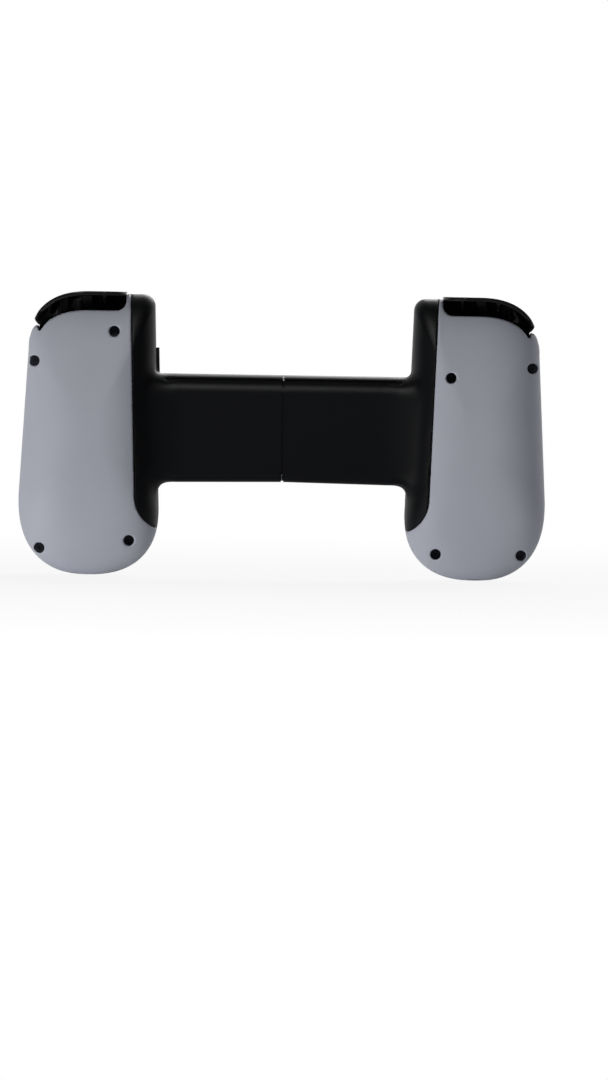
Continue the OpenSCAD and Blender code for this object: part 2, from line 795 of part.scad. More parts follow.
// Pinion and racks with straight-sided rack teeth and rolled pinion flanks
gear_module = 1;
gear_angle = 25;
gear_slack = 0.12;
tip_h = 0.8 * gear_module;
root_h = 1.05 * gear_module;
pitch_r = gear_module * pinion_teeth / 2;
base_r = pitch_r * cos(gear_angle);
tooth_w = PI * gear_module / 2 - gear_slack;
rolled = tan(gear_angle) - gear_angle * PI / 180;
flank_steps = 4;
function flank_angle(r) =
    let (a = acos(base_r / r))
    (tooth_w / 2 / pitch_r + rolled - tan(a) + a * PI / 180) * 180 / PI;
flank_radii = [for (i = [0 : flank_steps]) base_r + (pitch_r + tip_h - base_r) * i / flank_steps];
module pinion() {
    color(button_pale)
    along_y(gear_y[0], gear_y[1])
    difference() {
        polygon([for (k = [0 : pinion_teeth - 1])
            let (mid = 90 + 360 * k / pinion_teeth)
            let (flank = [for (r = flank_radii) [r, flank_angle(r)]])
            let (up = concat([[pitch_r - root_h, flank_angle(base_r)]], flank))
            for (p = concat(up, [for (i = [len(up) - 1 : -1 : 0]) [up[i][0], -up[i][1]]]))
                p[0] * [cos(mid - p[1]), sin(mid - p[1])]]);
        circle(r = axle_r + pin_fit);
    }
}
module pinion_axle() {
    color(metal) post(0, 0, axle_r, carriage_y[0], carriage_y[1]);
}
rack_h = 2.4;
foot_gap = 1;
tooth_root = 0.2;
rack_teeth_from = -floor((reach / 2 + 5) / (PI * gear_module));
module rack() {
    pitch = PI * gear_module;
    tip = tooth_w / 2 - tip_h * tan(gear_angle);
    root = tooth_w / 2 + root_h * tan(gear_angle);
    start = rack_teeth_from * pitch;
    color(button_pale) {
        along_y(gear_y[0], gear_y[1]) {
            for (k = [rack_teeth_from : 1])
                translate([(k + 0.5) * pitch, 0])
                    polygon([
                        [-root, pitch_r + root_h + tooth_root], [-root, pitch_r + root_h],
                        [-tip, pitch_r - tip_h], [tip, pitch_r - tip_h], [root, pitch_r + root_h],
                        [root, pitch_r + root_h + tooth_root]]);
            translate([start, pitch_r + root_h]) square([tongue_end_u - start, rack_h]);
        }
        block([carriage_l / 2 + foot_gap, tongue_end_u], [gear_y[0], tray_y[0]],
            span(pitch_r + root_h, 0, rack_h));
    }
}

// Springs that pull the halves together, and the ribbon that joins the boards
module return_springs() {
    color(metal)
    for (s = [-1, 1])
        along_u(-anchor_u[0] + seam_gap, anchor_u[0] - seam_gap)
            translate([spring_y, s * spring_z]) circle(r = spring_r);
}
flex_z = [axle_r + 0.6, pitch_r];
flex_h = 0.2;
flex_lift = 0.2;
module flex_cable() {
    color(copper)
    block([-1, 1] * (board_in_u - seat_gap),
        span(carriage_y[0] + carriage_floor + flex_lift, 0, flex_h), flex_z);
}

// Stick: base, yoke that turns about u, rocker that turns about z and carries the cap
stick_pivot_up = 1;
stick_pivot_y = parting_y + stick_pivot_up;
stick_base_r = 7.2;
stick_bowl_r = 5.9;
stick_base_up = 2;
stick_base_top = stick_pivot_y + stick_base_up;
stick_floor = 1.2;
trunnion_short = 0.3;
stick_hole_r = 7.6;
trunnion_r = 0.9;
yoke_r = [4.2, 5.4];
yoke_h = 2.4;
hub_r = 3;
shaft_r = 1.5;
shaft_l = 12;
dome_wall = 0.8;
cap_hub_h = 4.6;
cap_hub_r = 2.8;
neck_h = 10.5;
head_h = 13.2;
rim_h = 15.9;
rim_w = 1.2;
rim_round = 0.5;
rim_bulge = 0.2;
cap_dish = 0.9;
shaft_end = 0.6;
dome_angles = [20, 69];
stick_neck_r = 3.2;
left_stick_out = 4.1;
left_stick_down = 30.5;
right_stick_in = 2.4;
right_stick_up = 32.2;
left_stick = [grip_mid + left_stick_out, top - left_stick_down];
right_stick = [grip_mid - right_stick_in, low + right_stick_up];
module at_stick(p) {
    translate([p[0], stick_pivot_y, p[1]]) children();
}
module stick_base(p) {
    color(bridge_black)
    difference() {
        post(p[0], p[1], stick_base_r, board_y[1], stick_base_top);
        post(p[0], p[1], stick_bowl_r, board_y[1] + stick_floor, far);
        at_stick(p) rotate([0, 90, 0])
            cylinder(r = trunnion_r + pin_fit, h = 4 * stick_base_r, center = true);
    }
}
module stick_yoke(p) {
    color(button_pale)
    at_stick(p)
    difference() {
        union() {
            rotate([90, 0, 0]) cylinder(r = yoke_r[1], h = yoke_h, center = true);
            rotate([0, 90, 0])
                cylinder(r = trunnion_r, h = 2 * (stick_base_r - trunnion_short), center = true);
        }
        rotate([90, 0, 0]) cylinder(r = yoke_r[0], h = 2 * yoke_h, center = true);
        cylinder(r = trunnion_r + pin_fit, h = 4 * yoke_r[1], center = true);
    }
}
module stick_rocker(p) {
    color(metal)
    at_stick(p) {
        sphere(r = hub_r);
        cylinder(r = trunnion_r, h = 2 * (yoke_r[1] - trunnion_short), center = true);
        rotate([-90, 0, 0]) cylinder(r = shaft_r, h = shaft_l);
    }
}
module stick_cap(p) {
    color(rubber_black)
    at_stick(p) rotate([-90, 0, 0]) rotate_extrude() polygon(concat(
        [[shaft_r + pin_fit, cap_hub_h], [cap_hub_r, cap_hub_h]],
        [for (i = [0 : arc_steps])
            let (a = dome_angles[0] + (dome_angles[1] - dome_angles[0]) * i / arc_steps)
            (dome_r - dome_wall) * [sin(a), cos(a)]],
        [for (i = [0 : arc_steps])
            let (a = dome_angles[1] + (dome_angles[0] - dome_angles[1]) * i / arc_steps)
            dome_r * [sin(a), cos(a)]],
        [[stick_neck_r, neck_h], [stick_r - rim_w, head_h - rim_round], [stick_r, head_h],
            [stick_r + rim_bulge, (head_h + rim_h) / 2], [stick_r - rim_round, rim_h - rim_round],
            [stick_r - rim_w, rim_h], [stick_r - rim_w - rim_round, rim_h - rim_round],
            [0, rim_h - cap_dish],
            [0, shaft_l + shaft_end], [shaft_r + pin_fit, shaft_l + shaft_end]]));
}

// Face buttons over a rubber pad, and the small buttons
face_out = 3.6;
face_down = 31.5;
face_middle = [grip_mid + face_out, top - face_down];
button_base_y = 4.6;
flange_up = 0.4;
flange_h = 1.2;
flange_y = span(button_base_y + flange_up, 0, flange_h);
flange_w = 0.6;
face_proud = 1.7;
small_proud = 0.7;
face_top_y = front_y + face_proud;
small_top_y = front_y + small_proud;
small_in = 10;
menu_down = 19.5;
home_in = 8;
home_low = 7.6;
options_down = 17.5;
capture_in = 9;
menu_place = [grip_in + small_in, top - menu_down];
home_place = [grip_in + home_in, -home_low];
options_place = [grip_in + small_in, top - options_down];
capture_place = [grip_in + capture_in, 0];
function face_place(turn) = face_middle + face_spread * [cos(turn), sin(turn)];
module button(p, r, end_y) {
    color(button_pale) {
        post(p[0], p[1], r, button_base_y, end_y);
        post(p[0], p[1], r + flange_w, flange_y[0], flange_y[1]);
    }
}
module button_cut(p, r) {
    post(p[0], p[1], r + button_gap, flange_y[0], far);
}
pad_dome_r = 3;
pad_sheet = 1;
pad_foot = 0.6;
pad_strip = 4;
pad_squash = 0.2;
face_travel = 1.2;
module face_pad() {
    color(rubber_black) {
        along_y(board_y[1], board_y[1] + pad_sheet)
        translate(face_middle) {
            for (turn = [0, 90]) rotate(turn) square([2 * face_spread, pad_strip], center = true);
            for (turn = [0 : 90 : 270])
                rotate(turn) translate([face_spread, 0]) circle(r = pad_dome_r + pad_foot);
        }
        for (turn = [0 : 90 : 270])
            post(face_place(turn)[0], face_place(turn)[1], pad_dome_r, board_y[1],
                button_base_y - face_travel - pad_squash);
    }
}

// Directional pad: a cross on a flange, the retainer below it and the pivot that it rocks on
pad_in = 2.9;
pad_up = 33.2;
pad_place = [grip_mid - pad_in, low + pad_up];
pad_base_y = 4.6;
pad_flange_w = 1;
pad_flange_r = pad_l / 2 + pad_flange_w;
pad_flange_h = 1;
pad_rise = 2.1;
pad_top_y = front_y + pad_rise;
pad_gap = 0.55;
pad_pivot_r = 1.4;
retainer_low = 1.9;
retainer_h = 1.2;
retainer_in = 2;
retainer_bore = 0.6;
retainer_y = span(retainer_low, 0, retainer_h);
module cross_2d(gap) {
    for (turn = [0, 90]) rotate(turn) square([pad_l + 2 * gap, pad_w + 2 * gap], center = true);
}
module pad_cross_cut() {
    along_y(pad_base_y, far) translate(pad_place) cross_2d(pad_gap);
}
module d_pad() {
    color(button_pale) {
        along_y(pad_base_y, pad_top_y) translate(pad_place) cross_2d(0);
        post(pad_place[0], pad_place[1], pad_flange_r, pad_base_y, pad_base_y + pad_flange_h);
    }
}
module d_pad_retainer() {
    color(rubber_black)
    difference() {
        post(pad_place[0], pad_place[1], pad_l / 2 - retainer_in, retainer_y[0], retainer_y[1]);
        post(pad_place[0], pad_place[1], pad_pivot_r + retainer_bore, -far, far);
    }
}
module d_pad_pivot() {
    color(metal) post(pad_place[0], pad_place[1], pad_pivot_r, board_y[1], pad_base_y - seat_gap);
}

// Cuts in the front shells for the controls of each half
module right_front() {
    front_shell(right_screws) {
        pad_cut(right_pad_top);
        plug_cut(seat_gap);
        port_cut(button_gap);
        post(right_stick[0], right_stick[1], stick_hole_r, stick_pivot_y, far);
        for (turn = [0 : 90 : 270]) button_cut(face_place(turn), face_r);
        button_cut(menu_place, small_r);
        button_cut(home_place, small_r);
    }
}
module left_front() {
    front_shell(left_screws) {
        pad_cut(left_pad_top);
        jack_cut();
        post(left_stick[0], left_stick[1], stick_hole_r, stick_pivot_y, far);
        pad_cross_cut();
        button_cut(options_place, small_r);
        button_cut(capture_place, small_r);
    }
}
module left_back() {
    color(shell_grey)
    difference() {
        back_cover(left_screws);
        jack_cut();
    }
}
module right_pad() {
    color(rubber_black)
    difference() {
        end_pad(right_pad_top);
        plug_cut(seat_gap);
    }
}

right_half() back_cover(right_screws);  // right_back_cover
right_half() right_front();  // right_front_shell
right_half() bridge_back();  // right_bridge_back
right_half() bridge_tray();  // right_bridge_tray
right_half() right_pad();  // right_end_pad
right_half() board(right_screws);  // right_board
right_half() cover_screws(right_screws);  // right_cover_screws
right_half() rack();  // right_rack
right_half() trigger(right_ribs);  // right_trigger
right_half() trigger_pin();  // right_trigger_pin
right_half() trigger_spring();  // right_trigger_spring
right_half() trigger_bracket();  // right_trigger_bracket
right_half() bumper();  // right_bumper
right_half() bumper_switch();  // right_bumper_switch
right_half() stick_base(right_stick);  // right_stick_base
right_half() stick_yoke(right_stick);  // right_stick_yoke
right_half() stick_rocker(right_stick);  // right_stick_rocker
right_half() stick_cap(right_stick);  // right_stick_cap
right_half() button(face_place(90), face_r, face_top_y);  // face_button_top
right_half() button(face_place(0), face_r, face_top_y);  // face_button_right
right_half() button(face_place(270), face_r, face_top_y);  // face_button_bottom
right_half() button(face_place(180), face_r, face_top_y);  // face_button_left
right_half() face_pad();
right_half() button(menu_place, small_r, small_top_y);  // menu_button
right_half() button(home_place, small_r, small_top_y);  // home_button
right_half() phone_plug();
right_half() charge_port();
left_back();  // left_back_cover
left_front();  // left_front_shell
bridge_back();  // left_bridge_back
bridge_tray();  // left_bridge_tray
end_pad(left_pad_top);  // left_end_pad
board(left_screws);  // left_board
cover_screws(left_screws);  // left_cover_screws
mirror([0, 0, 1]) rack();  // left_rack
trigger(left_ribs);  // left_trigger
trigger_pin();  // left_trigger_pin
trigger_spring();  // left_trigger_spring
trigger_bracket();  // left_trigger_bracket
bumper();  // left_bumper
bumper_switch();  // left_bumper_switch
stick_base(left_stick);  // left_stick_base
stick_yoke(left_stick);  // left_stick_yoke
stick_rocker(left_stick);  // left_stick_rocker
stick_cap(left_stick);  // left_stick_cap
d_pad();
d_pad_retainer();
d_pad_pivot();
button(options_place, small_r, small_top_y);  // options_button
button(capture_place, small_r, small_top_y);  // capture_button
headphone_jack();
carriage();
carriage_cover();
pinion();
pinion_axle();
return_springs();
flex_cable();
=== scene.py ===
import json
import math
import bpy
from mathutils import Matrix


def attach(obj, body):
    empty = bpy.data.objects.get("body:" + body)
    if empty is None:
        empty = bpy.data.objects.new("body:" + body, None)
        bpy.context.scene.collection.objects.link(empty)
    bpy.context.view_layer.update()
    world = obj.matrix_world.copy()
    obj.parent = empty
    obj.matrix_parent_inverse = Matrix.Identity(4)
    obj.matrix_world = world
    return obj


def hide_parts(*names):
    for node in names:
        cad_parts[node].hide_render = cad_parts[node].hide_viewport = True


bl_info = {
    "name": "Mobile game controller",
    "version": (1, 0, 0),
    "blender": (4, 5, 0),
    "location": "View3D > Sidebar > Controller",
    "description": "Dresses the packed frame of a telescopic game controller with shells, controls and finishes",
    "category": "Object",
}

import bmesh
import bpy
from bpy.props import FloatProperty, FloatVectorProperty, PointerProperty
from mathutils import Matrix, Vector

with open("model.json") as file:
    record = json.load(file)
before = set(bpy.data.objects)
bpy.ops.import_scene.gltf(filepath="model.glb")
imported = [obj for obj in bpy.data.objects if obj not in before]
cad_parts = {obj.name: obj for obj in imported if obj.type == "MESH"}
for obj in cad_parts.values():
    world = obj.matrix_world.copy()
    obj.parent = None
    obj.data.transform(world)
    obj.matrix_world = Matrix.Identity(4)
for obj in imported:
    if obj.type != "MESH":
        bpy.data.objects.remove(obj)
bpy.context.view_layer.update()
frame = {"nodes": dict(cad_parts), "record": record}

MM = 0.001
# A length in millimetres that is past any edge of the controller, and the range of y that holds all of it.
FAR = 120.0
THROUGH = (-30.0, 30.0)
# Width in millimetres of the slow drift in a finish's tone.
DRIFT = 26.0
HALVES = (("left", 1), ("right", -1))


def linear(code):
    """Turns an sRGB hex colour into linear red, green and blue."""
    shares = [int(code[i : i + 2], 16) / 255 for i in (1, 3, 5)]
    return [s / 12.92 if s <= 0.04045 else ((s + 0.055) / 1.055) ** 2.4 for s in shares]


def length(name, description, value):
    """A size property whose default is given in millimetres."""
    return FloatProperty(
        name=name, description=description, default=value * MM, min=0.0, precision=5, subtype="DISTANCE", unit="LENGTH"
    )


def colour(name, description, code):
    """A colour property whose default is given as an sRGB hex value."""
    return FloatVectorProperty(
        name=name, description=description, default=linear(code), min=0.0, max=1.0, size=3, subtype="COLOR"
    )


class GripSizes(bpy.types.PropertyGroup):
    """Sizes of the grips' shells, as in the CAD model."""

    width: length("Grip width", "Width of a grip at its widest", 46.8)
    height: length("Grip height", "Height of a grip's shells", 93.7)
    tray_up: length("Tray height", "Height of the tray's middle above the lower end of the grips", 50.2)
    inside: length("Inner edge", "Distance of a grip's inner edge from the seam", 41.0)
    lean_in: length("Inner lean", "How far the inner edge leans outwards towards the top", 2.1)
    lean_out: length("Outer lean", "How far the outer edge leans inwards towards the top", 2.6)
    end_rise_out: length("Outer end", "Height of the rounded lower end on the outer side", 26.0)
    end_rise_in: length("Inner end", "Height of the rounded lower end on the inner side", 22.0)
    belly_depth: length("Belly depth", "Depth of the back cover behind the parting line", 17.5)
    top_depth: length("Top depth", "Depth of the back cover at its top", 14.2)
    front_rise: length("Front rise", "Height of the front shell in front of the parting line", 8.5)
    wall: length("Wall", "Wall of the shells", 1.8)
    edge: length("Edge", "Grid that the shells' edges are rounded on", 0.36)


class ControlSizes(bpy.types.PropertyGroup):
    """Sizes of the trigger, the bridge and the controls, as in the CAD model."""

    trigger_rim: length("Trigger rim", "Thickness of the trigger's shell", 1.3)
    trigger_gap: length("Trigger gap", "Height from the trigger's top to the back cover", 6.3)
    trigger_rear: length("Trigger rear", "Distance of the trigger's rear rim behind the tray", 11.8)
    bridge_height: length("Bridge height", "Height of the bridge at the seam", 34.6)
    bridge_depth: length("Bridge depth", "Depth of the bridge behind the tray face", 8.6)
    stick_radius: length("Stick radius", "Radius of a stick's cap", 8.6)
    face_radius: length("Button radius", "Radius of a face button", 4.5)
    small_radius: length("Small button radius", "Radius of a small button", 1.9)
    pad_length: length("Pad length", "Length of the directional pad's cross", 22.0)
    pad_width: length("Pad width", "Width of an arm of the directional pad's cross", 7.2)
    screw_hole: length("Screw hole", "Radius of a screw's hole in the back cover", 1.8)


class FinishColours(bpy.types.PropertyGroup):
    """Colours of the moulded and metal parts."""

    cover: colour("Cover", "Satin moulding of the grips", "#9b9da6")
    bridge: colour("Bridge", "Matt moulding of the bridge and the strips", "#050608")
    trigger: colour("Trigger", "Smoked plastic of the triggers and bumpers", "#0b0b0d")
    rubber: colour("Rubber", "Stick caps and end pads", "#161617")
    button: colour("Button", "Gloss moulding of the buttons", "#b4b6bd")
    steel: colour("Steel", "Plug, port, pins and springs", "#a9abae")
    screw: colour("Screw", "Blackened screws", "#2a2b2f")
    acetal: colour("Acetal", "Racks, pinion and stick yokes", "#8f8f8c")
    board: colour("Board", "Solder mask of the circuit boards", "#14402c")
    film: colour("Film", "Polyimide film of the cable", "#8a5424")


class GripForm:
    """Outlines and domes of a grip in millimetres, with u as the distance from the seam."""

    # Powers of the rounded outlines. Two is an ellipse, and more is squarer.
    end_power = 2.4
    corner_power = 2.45
    back_power = 2.5
    front_power = 5.0
    # The parting line between the shells, and the rounded corners at the top.
    parting_y = 1.0
    parting_gap = 0.1
    edge_gap = 0.15
    inner_r = 4.0
    corner_w = 21.2
    corner_h = 18.7
    crown_rise = 0.8
    # The black strip, with its bend to the inner edge, and the tongue of the cover beside it.
    strip_top = 8.1
    strip_low = 8.0
    strip_bend = 5.0
    bend_r = 12.0
    tongue = 1.5
    tongue_gap = 0.05
    # The cut for the trigger and the bumper.
    cut_fillet = 3.2
    cut_inset = 3.0
    cut_drop = 5.8
    tip_from = 11.3
    tip_curve = ((0, 0), (0.7, 0.15), (1.3, 0.6), (1.85, 1.4), (2.3, 2.5), (2.8, 4.4))
    rim_low = 2.6
    # Screw bosses, the headphone jack and the ring of face buttons.
    boss_wall = 0.85
    jack_r = 3.2
    face_ring = 8.6
    face_turns = {"right": 180, "top": 90, "left": 0, "bottom": 270}

    def __init__(self, sizes, controls):
        self.w = sizes.width / MM
        self.h = sizes.height / MM
        self.low = -sizes.tray_up / MM
        self.top = self.low + self.h
        self.crown = self.top + self.crown_rise
        self.inside = sizes.inside / MM
        self.lean_in = sizes.lean_in / MM
        self.lean_out = sizes.lean_out / MM
        self.rise_out = sizes.end_rise_out / MM
        self.rise_in = sizes.end_rise_in / MM
        self.belly = sizes.belly_depth / MM
        self.top_depth = sizes.top_depth / MM
        self.front_rise = sizes.front_rise / MM
        self.wall = sizes.wall / MM
        self.mid = self.inside + self.w / 2
        self.end_out_z = self.low + self.rise_out
        self.end_in_z = self.low + self.rise_in
        self.outer_low_u = self.mid + self.w / 2
        self.outer_top_u = self.outer_low_u - self.lean_out
        self.corner_u = self.outer_top_u - self.corner_w
        self.corner_z = self.top - self.corner_h
        self.inner_top_u = self.inside + self.lean_in
        self.dome_z = (self.low + self.top) / 2
        self.front_y = self.parting_y + self.front_rise
        self.shell_front_y = self.parting_y + self.parting_gap
        self.strip_top_u = self.inner_top_u + self.strip_top
        self.strip_low_u = self.inside + self.strip_low
        self.strip_bend_z = self.end_in_z + self.strip_bend
        self.cut_u = self.strip_top_u + self.tongue
        self.cut_z = self.crown - controls.trigger_gap / MM
        self.cut_tip = (self.outer_top_u - self.cut_inset, self.cut_z - self.cut_drop)
        self.rim_z = self.cut_tip[1] + self.rim_low
        self.pin = (self.parting_y + 2, self.cut_z - 4)
        # Places of the controls in u and z. The small buttons also name their side.
        self.sticks = {1: (self.mid + 4.1, 13.0), -1: (self.mid - 2.4, self.low + 32.2)}
        self.pad = (self.mid - 2.9, self.low + 33.2)
        self.face_buttons = {}
        for name, turn in self.face_turns.items():
            a = math.radians(turn)
            place = (self.mid + 3.6 + self.face_ring * math.cos(a), 12 + self.face_ring * math.sin(a))
            self.face_buttons[f"face_button_{name}"] = place
        self.small_buttons = {
            "menu_button": (-1, (self.inside + 10, self.top - 19.5)),
            "home_button": (-1, (self.inside + 8, -7.6)),
            "options_button": (1, (self.inside + 10, self.top - 17.5)),
            "capture_button": (1, (self.inside + 9, 0.0)),
        }

    def outer_edge(self, z):
        if z > self.end_out_z:
            return self.outer_low_u - self.lean_out * (z - self.end_out_z) / (self.corner_z - self.end_out_z)
        return self.mid + self.w / 2 * power_share((self.end_out_z - z) / self.rise_out, self.end_power)

    def inner_edge(self, z):
        if z > self.end_in_z:
            return self.inside + self.lean_in * (z - self.end_in_z) / (self.top - self.inner_r - self.end_in_z)
        return self.mid - self.w / 2 * power_share((self.end_in_z - z) / self.rise_in, self.end_power)

    def crown_z(self, u):
        share = power_share((u - self.corner_u) / self.corner_w, self.corner_power)
        return self.corner_z + (self.crown - self.corner_z) * share

    def outline(self):
        """The grip's outline from its lowest point, round the outer side, the top and the inner edge."""
        round_n, side_n, top_n, corner_n = 44, 40, 11, 12
        half, inner_u, inner_z = self.w / 2, self.inner_top_u + self.inner_r, self.top - self.inner_r
        runs = [
            power_arc(self.mid, self.end_out_z, half, -self.rise_out, self.end_power, 90, -90, round_n),
            [(self.outer_edge(z), z) for z in spread(self.end_out_z, self.corner_z, side_n)],
            power_arc(self.corner_u, self.corner_z, self.corner_w, self.corner_h, self.corner_power, 0, 90, round_n),
            [(u, self.top) for u in spread(self.corner_u, inner_u, top_n)],
            arc(inner_u, inner_z, self.inner_r, 90, 90, corner_n),
            [(self.inner_edge(z), z) for z in spread(inner_z, self.end_in_z, side_n)],
            power_arc(self.mid, self.end_in_z, -half, -self.rise_in, self.end_power, 0, 90, round_n),
        ]
        return [point for run in runs for point in run[:-1]]

    def back_depth(self, z):
        s = min(1.0, max(0.0, (z - self.dome_z) / (self.top - self.dome_z)))
        return self.belly - (self.belly - self.top_depth) * s * s * (3 - 2 * s)

    def dome_turns(self, power):
        """Angles of a dome's rings, about evenly apart along its curve."""
        rings, steps, reach, depth = 46, 2000, 23.0, 17.0
        fine = [math.radians(90 * i / steps) for i in range(steps + 1)]
        run = [0.0]
        for a, b in zip(fine, fine[1:]):
            across = reach * (math.cos(a) ** (2 / power) - max(0.0, math.cos(b)) ** (2 / power))
            deep = depth * (math.sin(b) ** (2 / power) - math.sin(a) ** (2 / power))
            run.append(run[-1] + math.hypot(across, deep))
        picks = {next(i for i, r in enumerate(run) if r >= run[-1] * k / rings) for k in range(rings)}
        return [fine[i] for i in sorted(picks) if i < steps]

    def dome_y(self, z, h, inset, back):
        if back:
            return self.parting_y - (self.back_depth(z) - inset) * h
        return self.shell_front_y + (self.front_rise - self.parting_gap - inset) * h

    def dome(self, back, inset=0.0):
        """Closed dome over the outline. An inset one is a cavity, drawn out past the parting line on its open side."""
        power = self.back_power if back else self.front_power
        outline = self.outline()
        n = len(outline)
        across, along = 1 - 2 * inset / self.w, 1 - 2 * inset / self.h
        points = []
        if inset:
            lid_y = self.parting_y + 2.0 if back else self.shell_front_y - 2.0
            points += [
                (self.mid + (u - self.mid) * across, lid_y, self.dome_z + (z - self.dome_z) * along)
                for u, z in outline
            ]
        for t in self.dome_turns(power):
            f, h = math.cos(t) ** (2 / power), math.sin(t) ** (2 / power)
            for u, z in outline:
                deep_z = self.dome_z + (z - self.dome_z) * f * along
                points.append((self.mid + (u - self.mid) * f * across, self.dome_y(deep_z, h, inset, back), deep_z))
        rings = len(points) // n
        last = (rings - 1) * n
        points.append((self.mid, self.dome_y(self.dome_z, 1.0, inset, back), self.dome_z))
        peak = [(last + i, last + (i + 1) % n, len(points) - 1) for i in range(n)]
        return points, [tuple(range(n))] + ring_faces(rings, n) + peak

    def cover_area(self, gap):
        """Where the light cover lies: beyond the line beside the strip, which bends to the inner edge below."""
        top_u, low_u, bend_z, r = self.strip_top_u + gap, self.strip_low_u, self.strip_bend_z, self.bend_r
        points = [(top_u, FAR), (top_u, self.top)] + arc(low_u - r, bend_z, r + gap, 0, -75, 16)
        return points + [(0, bend_z - r - gap), (0, -FAR), (FAR, -FAR), (FAR, FAR)]

    def strip_area(self, gap):
        """The rest of the grip, which the strip takes."""
        edge = self.cover_area(-gap)
        return edge[:-3] + [(-10, edge[-4][1]), (-10, FAR)]

    def trigger_cut(self, up=0.0, tip_up=None):
        """The cut for the trigger and the bumper, from the tongue beside the strip to the tip at the outer side.
        It can be raised, and by another height near the tip."""
        tip_up = up if tip_up is None else tip_up
        r, wide, high = self.cut_fillet, self.corner_w - self.cut_inset, self.cut_z - self.corner_z
        points = [(self.cut_u, FAR)] + arc(self.cut_u + r, self.cut_z + r + up, r, 180, 90, 12)
        for u, z in power_arc(self.corner_u, self.corner_z, wide, high, self.corner_power, 90, -70, 32):
            points.append((u, z + (up if u < self.corner_u + self.tip_from else tip_up)))
        tip_u, tip_z = self.cut_tip
        points += [(tip_u + across, tip_z - down + tip_up) for across, down in self.tip_curve]
        return points + [(FAR, points[-1][1]), (FAR, FAR)]

    def tip_corner(self):
        """What is rounded off the lower outer corner of the trigger and the bumper."""
        u, z = self.cut_tip
        curve = [(u - 0.5, z + 0.5), (u + 0.3, z + 1.1), (u + 0.9, z + 1.9), (u + 1.3, z + 2.9)]
        return curve + [(FAR, z + 2.9), (FAR, z - 9), (u - 0.5, z - 9)]

    def crown_curve(self, inset=0.0):
        """The crown's line, or one inside it, from the outer side to the tongue beside the strip."""
        wide, high = self.corner_w - inset, self.crown - self.corner_z - inset
        line = power_arc(self.corner_u, self.corner_z, wide, high, self.corner_power, 0, 90, 64)
        return line + [(self.cut_u + self.tongue_gap, self.crown - inset)]

    def crown_band(self, thick, low_z):
        """The band under the crown that the trigger and the bumper follow, down to a height."""
        outer = [p for p in self.crown_curve() if p[1] > low_z]
        inner = [p for p in self.crown_curve(thick) if p[1] > low_z]
        return [(outer[0][0], low_z)] + outer + inner[::-1] + [(inner[0][0], low_z)]

    def crown_area(self):
        """All that lies under the crown, from the tongue beside the strip to the outer side."""
        return self.crown_curve() + [(self.cut_u + self.tongue_gap, self.corner_z)]

    def jack_hole(self):
        """The headphone jack's hole from the lower end of the grip."""
        return prism(disc(self.mid, self.parting_y, self.jack_r), 2, self.low - 5, self.low + 16)

    def screws(self, side):
        """Places of the cover's screws, which differ between the halves."""
        edge, end = self.top - 22.6, self.low + 8.9
        if side > 0:
            return [
                (self.inner_edge(self.top - 26.1) + 13.2, self.top - 26.1),
                (self.outer_edge(edge) - 2.8, edge),
                (self.inner_edge(end) + 7.4, end),
                (self.outer_edge(end) - 3.9, end),
            ]
        return [
            (self.inner_edge(self.top - 12.4) + 13.6, self.top - 12.4),
            (self.outer_edge(edge) - 2.5, edge),
            (self.outer_edge(end) - 3.4, end),
            (self.inner_edge(end + 3) + 8.0, end + 3),
        ]


def spread(start, end, count):
    """Evenly spaced values from start to end, both of them too."""
    return [start + (end - start) * i / count for i in range(count + 1)]


def arc(a, b, radius, start, span, steps):
    """Points of an arc about a place, over a span of degrees from a start angle."""
    turns = [math.radians(t) for t in spread(start, start + span, steps)]
    return [(a + radius * math.cos(t), b + radius * math.sin(t)) for t in turns]


def power_arc(a, b, wide, high, power, start, span, steps):
    """Points of a rounded outline about a place. A negative width or height turns it over."""
    points = []
    for angle in spread(start, start + span, steps):
        t = math.radians(angle)
        x, z = max(0.0, math.cos(t)) ** (2 / power), max(0.0, math.sin(t)) ** (2 / power)
        points.append((a + wide * x, b + high * z))
    return points


def power_share(share, power):
    """Height share of a rounded outline at a share of its width."""
    return (1 - min(1.0, max(0.0, share)) ** power) ** (1 / power)


def ring_faces(rings, n):
    """Faces between rings of n points that follow each other."""
    return [
        (k * n + i, k * n + (i + 1) % n, (k + 1) * n + (i + 1) % n, (k + 1) * n + i)
        for k in range(rings - 1) for i in range(n)
    ]


def prism(outline, axis, start, end):
    """A closed prism of an outline along axis 0 (u), 1 (y) or 2 (z)."""
    points = []
    for level in (start, end):
        for a, b in outline:
            point = [a, b]
            point.insert(axis, level)
            points.append(tuple(point))
    n = len(outline)
    return points, [tuple(range(n)), tuple(range(n, 2 * n))] + ring_faces(2, n)


def block(u, y, z):
    """A closed block between two places along each axis."""
    return prism([(u[0], z[0]), (u[1], z[0]), (u[1], z[1]), (u[0], z[1])], 1, y[0], y[1])


def disc(a, b, radius, steps=48):
    """Outline of a circle."""
    return arc(a, b, radius, 0, 360, steps)[:-1]


def pill(a, b, width, height):
    """Outline of a slot with round ends, long along its first axis."""
    reach, r = (width - height) / 2, height / 2
    return arc(a + reach, b, r, -90, 180, 12) + arc(a - reach, b, r, 90, 180, 12)


def lathe(profile, u, z, steps=96):
    """A closed body turned about an axis along y. The profile lists radius and y, from axis to axis."""
    points = [(a, y, b) for r, y in profile for a, b in disc(u, z, r, steps)]
    return points, ring_faces(len(profile), steps)


